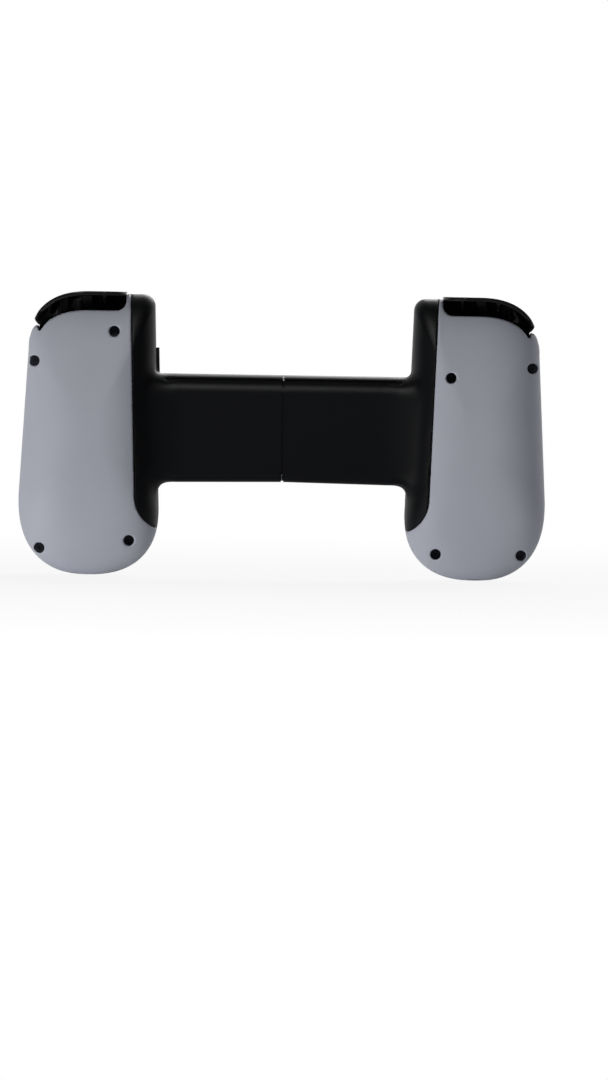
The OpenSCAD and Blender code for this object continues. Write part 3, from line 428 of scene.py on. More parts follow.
def coil(centre, radius, wire, turns, pitch, leg):
    """A spring's wire wound about an axis along u, with straight legs at its ends."""
    steps, sides = 28, 10
    u, y, z = centre
    path = []
    for i in range(int(turns * steps) + 1):
        t = 2 * math.pi * i / steps
        along = pitch * i / steps - turns * pitch / 2
        path.append(Vector((u + along, y + radius * math.cos(t), z + radius * math.sin(t))))
    path.insert(0, path[0] - Vector((0, 0.6, leg)))
    path.append(path[-1] + Vector((0, -0.6, leg)))
    points = []
    for i, place in enumerate(path):
        ahead = (path[min(i + 1, len(path) - 1)] - path[max(i - 1, 0)]).normalized()
        side = ahead.cross(Vector((1, 0, 0))).normalized()
        up = side.cross(ahead)
        points += [tuple(place + a * side + b * up) for a, b in disc(0, 0, wire, sides)]
    ends = [tuple(range(sides)), tuple(range(len(points) - sides, len(points)))]
    return points, ring_faces(len(path), sides) + ends


def solid(name, parts, side=1):
    """An object of closed parts, still in millimetres, on the half that side names."""
    mesh = bpy.data.meshes.new(name)
    made = bmesh.new()
    for points, faces in parts:
        corners = [made.verts.new((side * u, y, z)) for u, y, z in points]
        for face in faces:
            made.faces.new([corners[i] for i in face])
    bmesh.ops.remove_doubles(made, verts=made.verts, dist=1e-5)
    bmesh.ops.recalc_face_normals(made, faces=made.faces)
    bmesh.ops.delete(made, geom=[edge for edge in made.edges if edge.is_wire], context="EDGES")
    if not all(edge.is_manifold for edge in made.edges):
        raise RuntimeError(f"{name} isn't closed")
    made.to_mesh(mesh)
    made.free()
    thing = bpy.data.objects.new(name, mesh)
    bpy.context.scene.collection.objects.link(thing)
    return thing


def cut(side, *parts):
    """A step of carving that takes parts away."""
    return "DIFFERENCE", solid("cut", parts, side)


def join(side, *parts):
    """A step of carving that adds parts."""
    return "UNION", solid("join", parts, side)


def trim(side, *parts):
    """A step of carving that keeps only what lies in the parts."""
    return "INTERSECT", solid("trim", parts, side)


def baked(thing):
    """Replaces an object's mesh by what its modifiers make of it."""
    seen = thing.evaluated_get(bpy.context.evaluated_depsgraph_get())
    mesh = bpy.data.meshes.new_from_object(seen)
    thing.modifiers.clear()
    old = thing.data
    thing.data = mesh
    bpy.data.meshes.remove(old)


def carved(thing, *steps):
    """Joins, cuts or trims an object by others in turn, which then go."""
    for kind, tool in steps:
        step = thing.modifiers.new("step", "BOOLEAN")
        step.operation, step.object, step.solver = kind, tool, "MANIFOLD"
        baked(thing)
        bpy.data.objects.remove(tool)
    if not thing.data.polygons:
        raise RuntimeError(f"nothing is left of {thing.name}")
    return thing


def rounded(thing, grid, passes):
    """Remeshes an object on a grid and smooths it, which rounds all its edges as a mould does."""
    remesh = thing.modifiers.new("remesh", "REMESH")
    remesh.mode, remesh.voxel_size = "VOXEL", grid
    smooth = thing.modifiers.new("smooth", "SMOOTH")
    smooth.factor, smooth.iterations = 0.5, passes
    baked(thing)


def softened(thing, weight, passes):
    """Smooths an object further where weight, a function of a point in millimetres, is over nought."""
    group = thing.vertex_groups.new(name="soft")
    for corner in thing.data.vertices:
        share = weight(corner.co)
        if share > 0:
            group.add([corner.index], share, "REPLACE")
    smooth = thing.modifiers.new("smooth", "SMOOTH")
    smooth.factor, smooth.iterations, smooth.vertex_group = 0.5, passes, group.name
    baked(thing)
    thing.vertex_groups.clear()


def trued(thing, form):
    """Sets the top of a trigger or bumper exactly on the crown, which takes off the ripples of the grid."""
    flat, from_tongue, near = 0.1, 0.6, 0.25
    slopes = [corner.normal.y for corner in thing.data.vertices]
    for corner, slope in zip(thing.data.vertices, slopes):
        u = abs(corner.co.x)
        top = form.crown_z(u)
        if abs(slope) < flat and u > form.cut_u + from_tongue and abs(corner.co.z - top) < near:
            corner.co.z = top
    thing.data.update()


def fitted(thing, body, node, material):
    """Scales a finished object to metres, gives it its material and lets it stand for its CAD node."""
    thing.data.transform(Matrix.Scale(MM, 4))
    thing.data.shade_smooth()
    thing.data.materials.clear()
    thing.data.materials.append(material)
    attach(thing, body)
    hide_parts(node)


def creased(thing, angle):
    """Keeps edges sharper than an angle sharp in the shading."""
    thing.data.set_sharp_from_angle(angle=math.radians(angle))


def add_node(tree, kind, inputs=None, **settings):
    """Adds a node to a tree, with its settings and with values or links on its inputs."""
    made = tree.nodes.new(kind)
    for name, value in settings.items():
        setattr(made, name, value)
    for name, value in (inputs or {}).items():
        if isinstance(value, bpy.types.NodeSocket):
            tree.links.new(value, made.inputs[name])
        else:
            made.inputs[name].default_value = value
    return made


def empty_tree(owner):
    """The node tree of a material or a world, cleared."""
    owner.use_nodes = True
    owner.node_tree.nodes.clear()
    return owner.node_tree


def grained(name, base, grain, bump, rough, tone=0.05, edge=0.0, **sockets):
    """A moulded or metal finish: grain of a size in millimetres, drifting tone and roughness, and rounded edges."""
    material = bpy.data.materials.new(name)
    tree = empty_tree(material)
    place = add_node(tree, "ShaderNodeTexCoord").outputs["Object"]
    fine = add_node(
        tree, "ShaderNodeTexNoise",
        {"Vector": place, "Scale": 1 / (grain * MM), "Detail": 1.0, "Roughness": 0.5})
    wide = add_node(tree, "ShaderNodeTexNoise", {"Vector": place, "Scale": 1 / (DRIFT * MM), "Detail": 4.0})
    drift = add_node(
        tree, "ShaderNodeMapRange",
        {"Value": wide.outputs["Fac"], "From Min": 0.3, "From Max": 0.7, "To Min": 1 - tone, "To Max": 1 + tone})
    tint = add_node(
        tree, "ShaderNodeVectorMath", {0: list(base), 1: drift.outputs["Result"]}, operation="MULTIPLY")
    patch = add_node(
        tree, "ShaderNodeMapRange",
        {"Value": fine.outputs["Fac"], "From Min": 0.3, "From Max": 0.7,
         "To Min": rough * 0.95, "To Max": rough * 1.05})
    relief = add_node(
        tree, "ShaderNodeBump", {"Height": fine.outputs["Fac"], "Strength": 1.0, "Distance": bump * MM})
    if edge:
        bevel = add_node(tree, "ShaderNodeBevel", {"Radius": edge * MM}, samples=4)
        tree.links.new(bevel.outputs["Normal"], relief.inputs["Normal"])
    shader = add_node(
        tree, "ShaderNodeBsdfPrincipled",
        {"Base Color": tint.outputs["Vector"], "Roughness": patch.outputs["Result"],
         "Normal": relief.outputs["Normal"], **sockets})
    add_node(tree, "ShaderNodeOutputMaterial", {"Surface": shader.outputs["BSDF"]})
    return material


def finishes(colours):
    """The controller's materials, made once."""
    if "Satin ABS" in bpy.data.materials:
        return {m.name: m for m in bpy.data.materials}
    made = [
        # ABS from a spark-eroded mould: an even satin with a fine grain, drawn at 0.5 mm so that it shows.
        grained("Satin ABS", colours.cover, 0.5, 0.012, 0.52, tone=0.03, **{"IOR": 1.53, "Specular IOR Level": 0.2}),
        # Black PC-ABS from a coarser mould: matt, so that only its rounded edges catch light.
        grained(
            "Matt black PC-ABS", colours.bridge, 0.45, 0.004, 0.4, tone=0.15,
            **{"IOR": 1.55, "Specular IOR Level": 0.075}),
        # Polished smoked polycarbonate: near black, with clear reflections and a faint ripple from the mould.
        grained(
            "Smoked polycarbonate", colours.trigger, 3.0, 0.002, 0.24, tone=0.1,
            **{"IOR": 1.58, "Specular IOR Level": 0.18}),
        # Moulded silicone rubber: dull, with a soft skin-like grain.
        grained(
            "Silicone rubber", colours.rubber, 0.4, 0.03, 0.72, tone=0.12, edge=0.25,
            **{"IOR": 1.41, "Specular IOR Level": 0.3}),
        # Gloss ABS of the buttons: smooth, with a slow ripple.
        grained("Gloss ABS", colours.button, 2.0, 0.004, 0.24, tone=0.02, edge=0.2, **{"IOR": 1.53}),
        # Nickel-plated steel, drawn: bright, with fine lines that blur its reflections.
        grained("Nickel-plated steel", colours.steel, 0.3, 0.006, 0.28, tone=0.06, edge=0.08, **{"Metallic": 1.0}),
        # Black zinc on steel screws: dark and slightly rough.
        grained("Black zinc", colours.screw, 0.3, 0.01, 0.42, tone=0.1, edge=0.08, **{"Metallic": 1.0}),
        # Acetal: waxy and even, as gears are.
        grained("Acetal", colours.acetal, 0.8, 0.006, 0.4, tone=0.04, edge=0.1, **{"IOR": 1.48}),
        # Glass-epoxy board under solder mask: the weave shows as a slight grain under a gloss.
        grained("Solder-masked glass epoxy", colours.board, 0.7, 0.01, 0.3, tone=0.2, edge=0.05, **{"IOR": 1.55}),
        # Polyimide film over copper: amber and smooth.
        grained("Polyimide film", colours.film, 1.5, 0.004, 0.32, tone=0.12, **{"IOR": 1.7}),
    ]
    return {m.name: m for m in made}


class PieceOperator:
    """What the operators share: the form, the sizes and the finishes."""

    bl_options = {"REGISTER", "UNDO"}

    def begin(self, context):
        scene = context.scene
        self.grip, self.controls = scene.controller_grip, scene.controller_controls
        self.form = GripForm(self.grip, self.controls)
        self.finish = finishes(scene.controller_finish)
        self.grid = self.grip.edge / MM


class CONTROLLER_OT_back_covers(PieceOperator, bpy.types.Operator):
    """Makes the two light back covers with their screw holes"""

    bl_idname = "controller.back_covers"
    bl_label = "Back covers"

    hole_end = -3.4

    def execute(self, context):
        self.begin(context)
        form = self.form
        hole = self.controls.screw_hole / MM
        for half, side in HALVES:
            places = form.screws(side)
            bosses = [prism(disc(u, z, hole + form.boss_wall), 1, *THROUGH) for u, z in places]
            holes = [prism(disc(u, z, hole), 1, THROUGH[0], self.hole_end) for u, z in places]
            cavity = carved(solid("cavity", [form.dome(True, form.wall)], side), cut(side, *bosses))
            cover = carved(
                solid(f"{half}_cover", [form.dome(True)], side),
                ("DIFFERENCE", cavity),
                trim(side, prism(form.cover_area(form.edge_gap / 2), 1, *THROUGH)),
                cut(side, prism(form.trigger_cut(), 1, *THROUGH)),
                cut(side, *holes))
            if side > 0:
                carved(cover, cut(side, form.jack_hole()))
            rounded(cover, self.grid, 4)
            fitted(cover, f"{half}_half", f"{half}_back_cover", self.finish["Satin ABS"])
        return {"FINISHED"}


class CONTROLLER_OT_bridge_backs(PieceOperator, bpy.types.Operator):
    """Makes the black backs of the bridge, each one piece with the strip of its grip"""

    bl_idname = "controller.bridge_backs"
    bl_label = "Bridge backs"

    wall = 1.5
    # The lower edge lies further from the middle than the upper one, and drops towards the grip.
    low_reach = 0.9
    drop = 0.7
    # The loft starts beyond the seam, where it is trimmed later, and ends in the grip.
    start_u = -4.0
    end_u = 45.0
    top_r = 6.0
    low_r = 2.5
    flare_l = 12.0
    flare_d = 1.5
    upper_fillet = 2.0
    lower_fillet = 3.0
    groove_w = 0.4
    groove_d = 0.4
    # The left half's end reaches over the middle, so that no light shows through the seam's groove.
    ends = {1: -0.08, -1: 0.1}

    def section(self, u, inset=0.0):
        """The bridge's outline in y and z at a distance from the seam. It deepens in a curve towards the strip."""
        up = self.controls.bridge_height / MM / 2 - inset
        down = -up - self.low_reach - self.drop * u / self.end_u
        flare = max(0.0, 1 - (self.end_u - u) / self.flare_l)
        depth = self.controls.bridge_depth / MM + self.flare_d * flare * flare - inset
        top = arc(self.top_r - depth, up - self.top_r, self.top_r, 90, 90, 16)
        low = arc(self.low_r - depth, down + self.low_r, self.low_r, 180, 90, 16)
        return [(-self.wall, down), (-self.wall, up)] + top + low

    def channel(self):
        """The bridge as a loft of its sections."""
        places = spread(self.start_u, self.end_u, 48)
        points = [(u, y, z) for u in places for y, z in self.section(u)]
        n = len(points) // len(places)
        ends = [tuple(range(n)), tuple(range(len(points) - n, len(points)))]
        return points, ends + ring_faces(len(places), n)

    def fillet(self, z, r, way):
        """The filled corner between the bridge and the strip, in u and z."""
        u, wall = self.form.inner_edge(z), self.form.wall
        curve = [(a, z + way * (r - b)) for a, b in arc(u - r, 0.0, r, 0, 90, 12)]
        return [(u + wall, z - way), (u + wall, z + way * r)] + curve + [(u - r, z - way)]

    @staticmethod
    def near_grip(place):
        """Share of the smoothing at a place, which is full at the back where the bridge meets the strip."""
        middle_u, reach_u, high, fade, rear_y = 42.5, 4.5, 27, 8, -3
        across = max(0.0, min(1.0, 1.6 - abs(abs(place.x) - middle_u) / reach_u))
        within = max(0.0, min(1.0, (high - abs(place.z)) / fade))
        return across * within if place.y < rear_y else 0.0

    def execute(self, context):
        self.begin(context)
        form = self.form
        up, depth = self.controls.bridge_height / MM / 2, self.controls.bridge_depth / MM
        inner, face_y = up - self.wall, 0.2
        upper = self.fillet(up, self.upper_fillet, 1)
        lower = self.fillet(-up - self.low_reach - self.drop, self.lower_fillet, -1)
        for half, side in HALVES:
            back = carved(
                solid(f"{half}_bridge", [form.dome(True)], side),
                cut(side, form.dome(True, form.wall)),
                trim(side, prism(form.strip_area(form.edge_gap / 2), 1, *THROUGH)),
                join(side, self.channel()),
                join(side, prism(upper, 1, self.top_r - depth, -self.wall)),
                join(side, prism(lower, 1, self.low_r - depth, -self.wall)),
                cut(side, block((-9, 80), (self.wall - depth, face_y), (-inner, inner))),
                cut(side, block((-9, form.inner_edge(0) + 1.0), (-self.wall, face_y), (-FAR, up + 0.2))))
            rounded(back, self.grid, 3)
            softened(back, self.near_grip, 320)
            groove = carved(
                solid("groove", [block((-9, self.groove_w), THROUGH, (-FAR, FAR))], side),
                cut(side, prism(self.section(0, self.groove_d), 0, -10, 2)))
            carved(
                back,
                ("DIFFERENCE", groove),
                cut(side, block((-10, self.ends[side]), THROUGH, (-FAR, FAR))))
            fitted(back, f"{half}_half", f"{half}_bridge_back", self.finish["Matt black PC-ABS"])
            creased(back, 40)
        return {"FINISHED"}


class CONTROLLER_OT_triggers(PieceOperator, bpy.types.Operator):
    """Makes the hollow triggers with their ribs and arms"""

    bl_idname = "controller.triggers"
    bl_label = "Triggers"

    front_reach = 0.8
    plan_r = 7.5
    underside = 17
    rib_w = 0.9
    rib_h = 3.6
    arm_gap = 5.0
    arm_w = 3.0
    arm_pitch = 8.0
    eye_r = 2.0
    bore_r = 1.25
    # The outer ear of the bracket, from the first arm, with room about it.
    ear = (11.85, 13.75)
    ear_up = 2.45
    ear_back = 1.9

    def plan(self):
        """The trigger seen from above, in u and y."""
        form, rear, r = self.form, self.rear, self.plan_r
        inner, wide, deep = form.cut_u + form.tongue_gap, form.corner_w - 2, rear - 1
        points = arc(inner + r, r - rear, r, 180, 90, 16)
        points += power_arc(form.outer_top_u - wide, deep - rear, wide, -deep, form.corner_power, 90, -90, 32)
        return points + [(form.outer_top_u, self.front), (inner, self.front)]

    def plate(self, name, side):
        """The bent plate under the crown, cut to the trigger's plan and side view."""
        rear, front, low_z = self.rear, self.front, self.form.rim_z
        rear_z = low_z + (rear - 0.5) * math.tan(math.radians(self.underside))
        side_view = [(front, low_z), (-0.5, low_z), (-rear, rear_z), (-rear, FAR), (front, FAR)]
        return carved(
            solid(name, [prism(self.form.crown_band(self.rim, low_z - 1), 1, -rear, front)], side),
            trim(side, prism(self.plan(), 2, 0, FAR)),
            trim(side, prism(side_view, 0, 0, FAR)))

    def ribs(self, side):
        """Two ribs under the plate, whose places differ between the halves."""
        form, front = self.form, self.front
        places = {1: (form.cut_u + 6.4, form.corner_u + 7.1), -1: (form.cut_u + 7.3, form.corner_u + 14.2)}
        for u in places[side]:
            start, end = u - self.rib_w / 2, u + self.rib_w / 2
            peak = form.crown_z(end) - self.rim / 2
            low = peak - self.rib_h
            yield join(side, prism(
                [(front, peak), (-7.5, peak), (-7.5, peak - 1.2), (-2.2, low), (front, low)], 0, start, end))

    def arms(self, side):
        """Two arms down to the pin, each with an eye, and the bore through both."""
        pin_y, pin_z = self.form.pin
        lean, rear_y = self.eye_r * math.sin(math.radians(45)), self.front - 0.8
        for u in (self.arm_u, self.arm_u + self.arm_pitch):
            end = u + self.arm_w
            peak = self.form.crown_z(end) - self.rim / 2
            arm = [
                (pin_y - self.eye_r, pin_z), (pin_y + lean, pin_z + lean), (rear_y, pin_z + 6),
                (rear_y, peak), (self.front - 5, peak)]
            yield join(side, prism(arm, 0, u, end))
            yield join(side, prism(disc(pin_y, pin_z, self.eye_r), 0, u, end))
        yield cut(side, prism(disc(pin_y, pin_z, self.bore_r), 0, 0, FAR))

    def front_wall(self, side):
        """The wall that closes the hollow in front. It hangs into the grip, clear of the bracket and outer wall."""
        form, front = self.form, self.front
        pin_y, pin_z = form.pin
        ear = [self.arm_u + reach for reach in self.ear]
        return carved(
            solid("wall", [prism(form.crown_area(), 1, front - 1.0, front - 0.05)], side),
            trim(side, prism(form.trigger_cut(-0.6, 0.35), 1, *THROUGH)),
            cut(side, block(ear, (pin_y - self.ear_back, THROUGH[1]), (0, pin_z + self.ear_up))),
            cut(side, prism(form.tip_corner(), 1, *THROUGH)),
            cut(side, block((0, FAR), THROUGH, (form.crown - self.rim / 2, FAR))))

    def execute(self, context):
        self.begin(context)
        form = self.form
        self.rear, self.rim = self.controls.trigger_rear / MM, self.controls.trigger_rim / MM
        self.front = form.parting_y + self.front_reach
        self.arm_u = form.screws(-1)[0][0] + self.controls.screw_hole / MM + form.boss_wall + self.arm_gap
        for half, side in HALVES:
            shell = self.plate(f"{half}_trigger_shell", side)
            carved(shell, *self.ribs(side), *self.arms(side))
            rounded(shell, 0.2, 3)
            trued(shell, form)
            carved(shell, ("UNION", self.front_wall(side)))
            fitted(shell, f"{half}_trigger", f"{half}_trigger", self.finish["Smoked polycarbonate"])
            spring = solid(
                f"{half}_trigger_coil", [coil((form.corner_u + 5.5, *form.pin), 1.62, 0.27, 6.5, 0.6, 1.6)], side)
            fitted(spring, f"{half}_half", f"{half}_trigger_spring", self.finish["Nickel-plated steel"])
        return {"FINISHED"}


class CONTROLLER_OT_bumpers(PieceOperator, bpy.types.Operator):
    """Makes the bumpers in front of the triggers"""

    bl_idname = "controller.bumpers"
    bl_label = "Bumpers"

    from_parting = 1.2
    deep = 6.0
    wall = 1.5
    stem_r = 1.0
    # The stem stands over the switch: from the corner in u, and from the trigger's pin in y and z.
    stem_from = (5.5, 1.95, 5.25)

    def execute(self, context):
        self.begin(context)
        form, wall = self.form, self.wall
        start = form.parting_y + self.from_parting
        end = start + self.deep
        stem_u, stem_y = form.corner_u + self.stem_from[0], form.pin[0] + self.stem_from[1]
        stem_top = form.crown_z(stem_u + self.stem_r) - wall / 2
        stem = prism(disc(stem_u, stem_y, self.stem_r), 2, form.pin[1] + self.stem_from[2], stem_top)
        for half, side in HALVES:
            lip = carved(
                solid("lip", [prism(form.crown_area(), 1, end - wall, end)], side),
                trim(side, prism(form.trigger_cut(1.15, 2.1), 1, *THROUGH)),
                cut(side, prism(form.tip_corner(), 1, *THROUGH)))
            bumper = carved(
                solid(f"{half}_bumper_shell", [prism(form.crown_band(wall, form.rim_z), 1, start, end)], side),
                ("UNION", lip),
                join(side, stem))
            rounded(bumper, 0.24, 4)
            trued(bumper, form)
            fitted(bumper, f"{half}_bumper", f"{half}_bumper", self.finish["Smoked polycarbonate"])
        return {"FINISHED"}


class CONTROLLER_OT_front_shells(PieceOperator, bpy.types.Operator):
    """Makes the front shells with the openings for the controls"""

    bl_idname = "controller.front_shells"
    bl_label = "Front shells"

    button_gap = 0.15
    pad_gap = 0.55
    stick_hole = 7.6
    end_pad_low = 1.3
    right_pad_top = 25.8

    def end_pad(self, side):
        """The slot for the rubber end pad beside the phone."""
        form = self.form
        top = self.controls.bridge_height / MM / 2 - self.end_pad_low
        low = -top
        if side < 0:
            top = self.right_pad_top
        low_u, top_u = form.inner_edge(low), form.inner_edge(top)
        slot = [(low_u - 1.1, low - 0.1), (low_u + 0.9, low - 0.1), (top_u + 0.9, top + 0.1), (top_u - 1.1, top + 0.1)]
        return prism(slot, 1, form.shell_front_y + 0.4, form.shell_front_y + 5.6)

    def opening(self, place, radius, start=5, steps=48):
        """A round opening from a depth out through the front."""
        return prism(disc(*place, radius, steps), 1, start, THROUGH[1])

    def openings(self, side):
        """All that is cut out of a front shell."""
        form = self.form
        small = self.controls.small_radius / MM + self.button_gap
        cuts = [prism(form.trigger_cut(0.0, 0.6), 1, *THROUGH), self.end_pad(side)]
        cuts.append(self.opening(form.sticks[side], self.stick_hole, 2, 96))
        cuts += [self.opening(place, small) for on, place in form.small_buttons.values() if on == side]
        if side > 0:
            long = self.controls.pad_length / MM / 2 + self.pad_gap
            wide = self.controls.pad_width / MM / 2 + self.pad_gap
            u, z = form.pad
            for a, b in ((long, wide), (wide, long)):
                cuts.append(block((u - a, u + a), (4.6, THROUGH[1]), (z - b, z + b)))
            return cuts + [form.jack_hole()]
        face = self.controls.face_radius / MM + self.button_gap
        cuts += [self.opening(place, face, steps=64) for place in form.face_buttons.values()]
        # The charge port's slot below, and the phone plug's slot at the inner edge.
        port = pill(form.mid, form.parting_y + 2.2, 9.24, 3.46)
        plug = [(y, z) for z, y in pill(0, form.shell_front_y + 3.0, 8.7, 2.9)]
        cuts.append(prism(port, 2, form.low - 5, form.low + 7.8))
        return cuts + [prism(plug, 0, 0, form.inner_edge(0) + 3.6)]

    def execute(self, context):
        self.begin(context)
        form = self.form
        for half, side in HALVES:
            shell = carved(
                solid(f"{half}_front", [form.dome(False)], side),
                cut(side, form.dome(False, form.wall)),
                *[cut(side, part) for part in self.openings(side)])
            rounded(shell, self.grid, 4)
            fitted(shell, f"{half}_half", f"{half}_front_shell", self.finish["Satin ABS"])
        return {"FINISHED"}


class CONTROLLER_OT_stick_caps(PieceOperator, bpy.types.Operator):
    """Makes the thumb sticks' caps with their domes and gripped rims"""

    bl_idname = "controller.stick_caps"
    bl_label = "Stick caps"

    stick_y = 2.0

    def profile(self):
        """Radius and height of the cap, up its socket and dome, round its rim and back down the socket."""
        r = self.controls.stick_radius / MM
        dome = [(b, a) for a, b in arc(0, 0, 8.2, 20, 49, 24) + arc(0, 0, 9.0, 69, -49, 24)]
        neck = [(3.4, 9.6), (3.2, 10.5), (3.4, 11.1), (4.2, 11.8), (6.0, 12.45), (r - 1.2, 12.75), (r - 0.4, 13.0)]
        rim = [(r - 0.9 + 1.1 * a, 14.45 + 1.35 * b) for a, b in arc(0, 0, 1, -80, 160, 12)]
        brim = [(r - 1.3, 15.9), (r - 1.8, 15.8), (r - 2.3, 15.5), (r - 3.2, 15.3)]
        top = [(4.0, 15.08), (2.0, 15.0), (0.0, 15.0)]
        socket = [(0.0, 12.6), (1.55, 12.6), (1.55, 4.6)]
        return [(1.55, 4.6), (2.8, 4.6)] + dome + neck + rim + brim + top + socket

    def execute(self, context):
        self.begin(context)
        profile = [(radius, self.stick_y + y) for radius, y in self.profile()]
        for half, side in HALVES:
            cap = solid(f"{half}_stick", [lathe(profile, *self.form.sticks[side])], side)
            bevel = cap.modifiers.new("edges", "BEVEL")
            bevel.width, bevel.segments, bevel.limit_method, bevel.angle_limit = 0.12, 2, "ANGLE", math.radians(40)
            baked(cap)
            fitted(cap, f"{half}_stick_cap", f"{half}_stick_cap", self.finish["Silicone rubber"])
            creased(cap, 50)
        return {"FINISHED"}


class CONTROLLER_OT_buttons(PieceOperator, bpy.types.Operator):
    """Makes the face buttons, the small buttons and the directional pad"""

    bl_idname = "controller.buttons"
    bl_label = "Buttons and pad"

    crown = 0.25
    flange = 0.6
    face_rise, face_edge = 1.7, 0.7
    small_rise, small_edge = 0.7, 0.4
    pad_rise = 2.1
    dish_depth, dish_r = 0.7, 5.0

    def button(self, name, side, place, radius, rise, edge):
        """A button with a crowned top and a flange under the shell."""
        out, crown_y, flat = radius + self.flange, self.form.front_y + rise, radius - edge
        profile = [(0.0, 4.6), (radius, 4.6), (radius, 5.0), (out, 5.0), (out, 6.2), (radius, 6.2)]
        profile += arc(flat, crown_y - self.crown - edge, edge, 0, 90, 8)
        profile += [(flat * share, crown_y - self.crown * share * share) for share in (0.8, 0.6, 0.4, 0.2, 0.0)]
        made = solid(f"{name}_cap", [lathe(profile, *place, 72)], side)
        fitted(made, name, name, self.finish["Gloss ABS"])
        creased(made, 50)

    def pad(self):
        """The cross on its disc, with a shallow dish in its middle."""
        u, z = self.form.pad
        long, wide = self.controls.pad_length / MM / 2, self.controls.pad_width / MM / 2
        high = self.form.front_y + self.pad_rise
        cross = carved(
            solid("d_pad_cross", [prism(disc(u, z, long + 1, 96), 1, 4.6, 5.6)]),
            *[join(1, block((u - a, u + a), (5.0, high), (z - b, z + b))) for a, b in ((long, wide), (wide, long))])
        rounded(cross, 0.22, 5)
        for corner in cross.data.vertices:
            if corner.co.y > high - 0.8:
                from_middle = math.hypot(corner.co.x - u, corner.co.z - z)
                corner.co.y -= self.dish_depth * math.exp(-((from_middle / self.dish_r) ** 2))
        fitted(cross, "d_pad", "d_pad", self.finish["Gloss ABS"])

    def execute(self, context):
        self.begin(context)
        face, small = self.controls.face_radius / MM, self.controls.small_radius / MM
        for name, place in self.form.face_buttons.items():
            self.button(name, -1, place, face, self.face_rise, self.face_edge)
        for name, (side, place) in self.form.small_buttons.items():
            self.button(name, side, place, small, self.small_rise, self.small_edge)
        self.pad()
        return {"FINISHED"}


class CONTROLLER_OT_inner_parts(PieceOperator, bpy.types.Operator):
    """Gives the CAD parts that stay as they are their finishes"""

    bl_idname = "controller.inner_parts"
    bl_label = "Inner parts"

    slot_finish = {
        "shell_grey": "Satin ABS", "bridge_black": "Matt black PC-ABS", "trigger_black": "Smoked polycarbonate",
        "rubber": "Silicone rubber", "button_pale": "Gloss ABS", "steel": "Nickel-plated steel", "acetal": "Acetal",
        "board": "Solder-masked glass epoxy", "copper": "Polyimide film"}

    def execute(self, context):
        self.begin(context)
        for subpart in frame["record"]["subparts"]:
            name = subpart["node"]
            finish = self.slot_finish[subpart["material_slot"]]
            if name.endswith("cover_screws"):
                finish = "Black zinc"
            thing = frame["nodes"][name]
            thing.data.materials.clear()
            thing.data.materials.append(self.finish[finish])
        return {"FINISHED"}


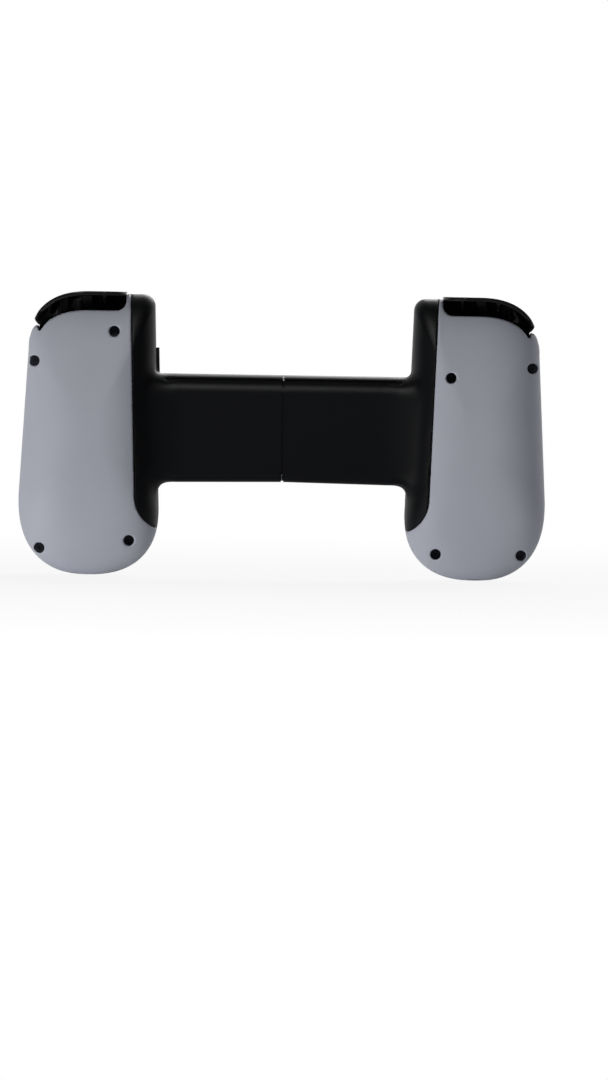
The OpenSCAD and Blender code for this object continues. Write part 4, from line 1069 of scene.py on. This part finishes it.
class CONTROLLER_OT_stage(PieceOperator, bpy.types.Operator):
    """Sets the camera behind the controller, the pale floor and the soft light"""

    bl_idname = "controller.stage"
    bl_label = "Stage"

    # The camera's distance in metres, its scale and turn, and the pixel at which a point in millimetres is seen.
    distance = 2.6
    photo_size = (608, 1080)
    mm_per_pixel = 0.3328
    roll = 0.95
    tilt = 1.0
    aim_pixel = (288.0, 407.6)
    aim_place = (1.6, -5.0, 6.6)
    # The floor's half side and its gap below the grips in metres, and how much of its white is mirrored.
    floor_reach = 3.0
    floor_gap = 0.0001
    floor_mirrored = 0.2

    @staticmethod
    def mirrored(tree, path):
        """Tells whether a ray was mirrored or passed through something clear."""
        rays = {0: path.outputs["Is Glossy Ray"], 1: path.outputs["Is Transmission Ray"]}
        return add_node(tree, "ShaderNodeMath", rays, operation="MAXIMUM").outputs[0]

    def lamp(self, name, place, size, power):
        """An area lamp at a place, turned to the controller."""
        light = bpy.data.lights.new(name, "AREA")
        light.shape, light.size, light.size_y, light.energy = "RECTANGLE", size[0], size[1], power
        thing = bpy.data.objects.new(name, light)
        thing.location = place
        thing.rotation_euler = (-Vector(place)).to_track_quat("-Z", "Y").to_euler()
        bpy.context.scene.collection.objects.link(thing)
        return thing

    def camera(self):
        """A camera straight behind the controller, whose frame is shifted as in the photograph."""
        data = bpy.data.cameras.new("camera")
        data.sensor_width = 36.0
        width, height = self.photo_size
        data.lens = data.sensor_width * self.distance / (height * self.mm_per_pixel * MM)
        data.shift_x = (width / 2 - self.aim_pixel[0]) / height
        data.shift_y = (self.aim_pixel[1] - height / 2) / height
        data.clip_start, data.clip_end = 0.01, 20
        thing = bpy.data.objects.new("camera", data)
        tilt = math.radians(self.tilt)
        aim = Vector(self.aim_place) * MM
        thing.location = aim + self.distance * Vector((0, -math.cos(tilt), math.sin(tilt)))
        turn = Matrix.Rotation(math.radians(90) - tilt, 4, "X") @ Matrix.Rotation(math.radians(self.roll), 4, "Z")
        thing.rotation_euler = turn.to_euler()
        bpy.context.scene.collection.objects.link(thing)
        bpy.context.scene.camera = thing

    def floor(self):
        """A wide pale floor under the grips. It looks white to the camera, and keeps a faint shadow."""
        reach, level = self.floor_reach, self.form.low * MM - self.floor_gap
        mesh = bpy.data.meshes.new("floor")
        corners = ((-1, -1), (1, -1), (1, 1), (-1, 1))
        mesh.from_pydata([(x * reach, y * reach, level) for x, y in corners], [], [(0, 1, 2, 3)])
        thing = bpy.data.objects.new("floor", mesh)
        bpy.context.scene.collection.objects.link(thing)
        # Matt white paper: even and without a sheen, so that it shows nothing but the shadow.
        material = bpy.data.materials.new("White paper")
        tree = empty_tree(material)
        paper = add_node(tree, "ShaderNodeBsdfDiffuse", {"Color": (0.86, 0.86, 0.86, 1)})
        plain = add_node(tree, "ShaderNodeEmission", {"Color": (1, 1, 1, 1), "Strength": 1.0})
        path = add_node(tree, "ShaderNodeLightPath")
        mirrored = add_node(
            tree, "ShaderNodeMath", {0: self.mirrored(tree, path), 1: self.floor_mirrored}, operation="MULTIPLY")
        seen = add_node(
            tree, "ShaderNodeMath", {0: path.outputs["Is Camera Ray"], 1: mirrored.outputs[0]}, operation="MAXIMUM")
        place = add_node(tree, "ShaderNodeTexCoord").outputs["Object"]
        away = add_node(tree, "ShaderNodeVectorMath", {0: place}, operation="LENGTH")
        white = add_node(
            tree, "ShaderNodeMapRange",
            {"Value": away.outputs["Value"], "From Min": 0.1, "From Max": 0.45, "To Min": 0.88, "To Max": 1.0})
        share = add_node(
            tree, "ShaderNodeMath", {0: seen.outputs[0], 1: white.outputs["Result"]}, operation="MULTIPLY")
        mix = add_node(
            tree, "ShaderNodeMixShader", {0: share.outputs[0], 1: paper.outputs["BSDF"], 2: plain.outputs["Emission"]})
        add_node(tree, "ShaderNodeOutputMaterial", {"Surface": mix.outputs["Shader"]})
        mesh.materials.append(material)
        # The table is translucent, so that the low key light reaches the controller through it.
        thing.visible_shadow = False

    def surround(self):
        """A plain room that is lighter low down, and a white backdrop that the camera and reflections see."""
        world = bpy.data.worlds.new("surround")
        tree = empty_tree(world)
        path = add_node(tree, "ShaderNodeLightPath")
        way = add_node(tree, "ShaderNodeSeparateXYZ", {0: add_node(tree, "ShaderNodeTexCoord").outputs["Generated"]})
        level = add_node(
            tree, "ShaderNodeMapRange",
            {"Value": way.outputs["Z"], "From Min": 0.0, "From Max": 0.8, "To Min": 0.5, "To Max": 0.14})
        light = add_node(
            tree, "ShaderNodeBackground", {"Color": (0.95, 0.965, 1.0, 1), "Strength": level.outputs["Result"]})
        white = add_node(tree, "ShaderNodeBackground", {"Color": (1, 1, 1, 1), "Strength": 1.0})
        room = add_node(tree, "ShaderNodeBackground", {"Color": (1, 1, 1, 1), "Strength": 0.07})
        backdrop = add_node(
            tree, "ShaderNodeMapRange", {"Value": way.outputs["Y"], "From Min": -0.1, "From Max": 0.3})
        mirror = add_node(
            tree, "ShaderNodeMixShader",
            {0: backdrop.outputs["Result"], 1: room.outputs["Background"], 2: white.outputs["Background"]})
        mix = add_node(
            tree, "ShaderNodeMixShader",
            {0: self.mirrored(tree, path), 1: light.outputs["Background"], 2: mirror.outputs["Shader"]})
        mix = add_node(
            tree, "ShaderNodeMixShader",
            {0: path.outputs["Is Camera Ray"], 1: mix.outputs["Shader"], 2: white.outputs["Background"]})
        add_node(tree, "ShaderNodeOutputWorld", {"Surface": mix.outputs["Shader"]})
        bpy.context.scene.world = world

    def execute(self, context):
        self.begin(context)
        self.camera()
        self.floor()
        self.surround()
        self.lamp("key", (-0.75, -0.72, -0.4), (0.6, 0.35), 10.2)
        # This lamp only draws the bright line along the bridge's upper edge.
        self.lamp("edge", (-0.09, -0.5, 0.35), (0.25, 0.18), 2.1).visible_diffuse = False
        self.lamp("front", (0.3, 0.9, 0.7), (0.8, 0.8), 9.0)
        context.scene.view_settings.view_transform = "Standard"
        return {"FINISHED"}


OPERATORS = (
    CONTROLLER_OT_back_covers,
    CONTROLLER_OT_bridge_backs,
    CONTROLLER_OT_triggers,
    CONTROLLER_OT_bumpers,
    CONTROLLER_OT_front_shells,
    CONTROLLER_OT_stick_caps,
    CONTROLLER_OT_buttons,
    CONTROLLER_OT_inner_parts,
    CONTROLLER_OT_stage,
)


class CONTROLLER_PT_build(bpy.types.Panel):
    """Lists the controller's pieces and its main sizes and colours."""

    bl_idname = "CONTROLLER_PT_build"
    bl_label = "Game controller"
    bl_space_type = "VIEW_3D"
    bl_region_type = "UI"
    bl_category = "Controller"

    def draw(self, context):
        scene = context.scene
        for group in (scene.controller_grip, scene.controller_controls, scene.controller_finish):
            box = self.layout.box()
            for name in group.__annotations__:
                box.prop(group, name)
        for operator in OPERATORS:
            self.layout.operator(operator.bl_idname)


CLASSES = (GripSizes, ControlSizes, FinishColours, *OPERATORS, CONTROLLER_PT_build)


def register():
    for made in CLASSES:
        bpy.utils.register_class(made)
    bpy.types.Scene.controller_grip = PointerProperty(type=GripSizes)
    bpy.types.Scene.controller_controls = PointerProperty(type=ControlSizes)
    bpy.types.Scene.controller_finish = PointerProperty(type=FinishColours)


def unregister():
    del bpy.types.Scene.controller_finish
    del bpy.types.Scene.controller_controls
    del bpy.types.Scene.controller_grip
    for made in reversed(CLASSES):
        bpy.utils.unregister_class(made)


def main():
    register()
    bpy.ops.controller.back_covers()
    bpy.ops.controller.bridge_backs()
    bpy.ops.controller.triggers()
    bpy.ops.controller.bumpers()
    bpy.ops.controller.front_shells()
    bpy.ops.controller.stick_caps()
    bpy.ops.controller.buttons()
    bpy.ops.controller.inner_parts()
    bpy.ops.controller.stage()


if __name__ == "__main__":
    main()
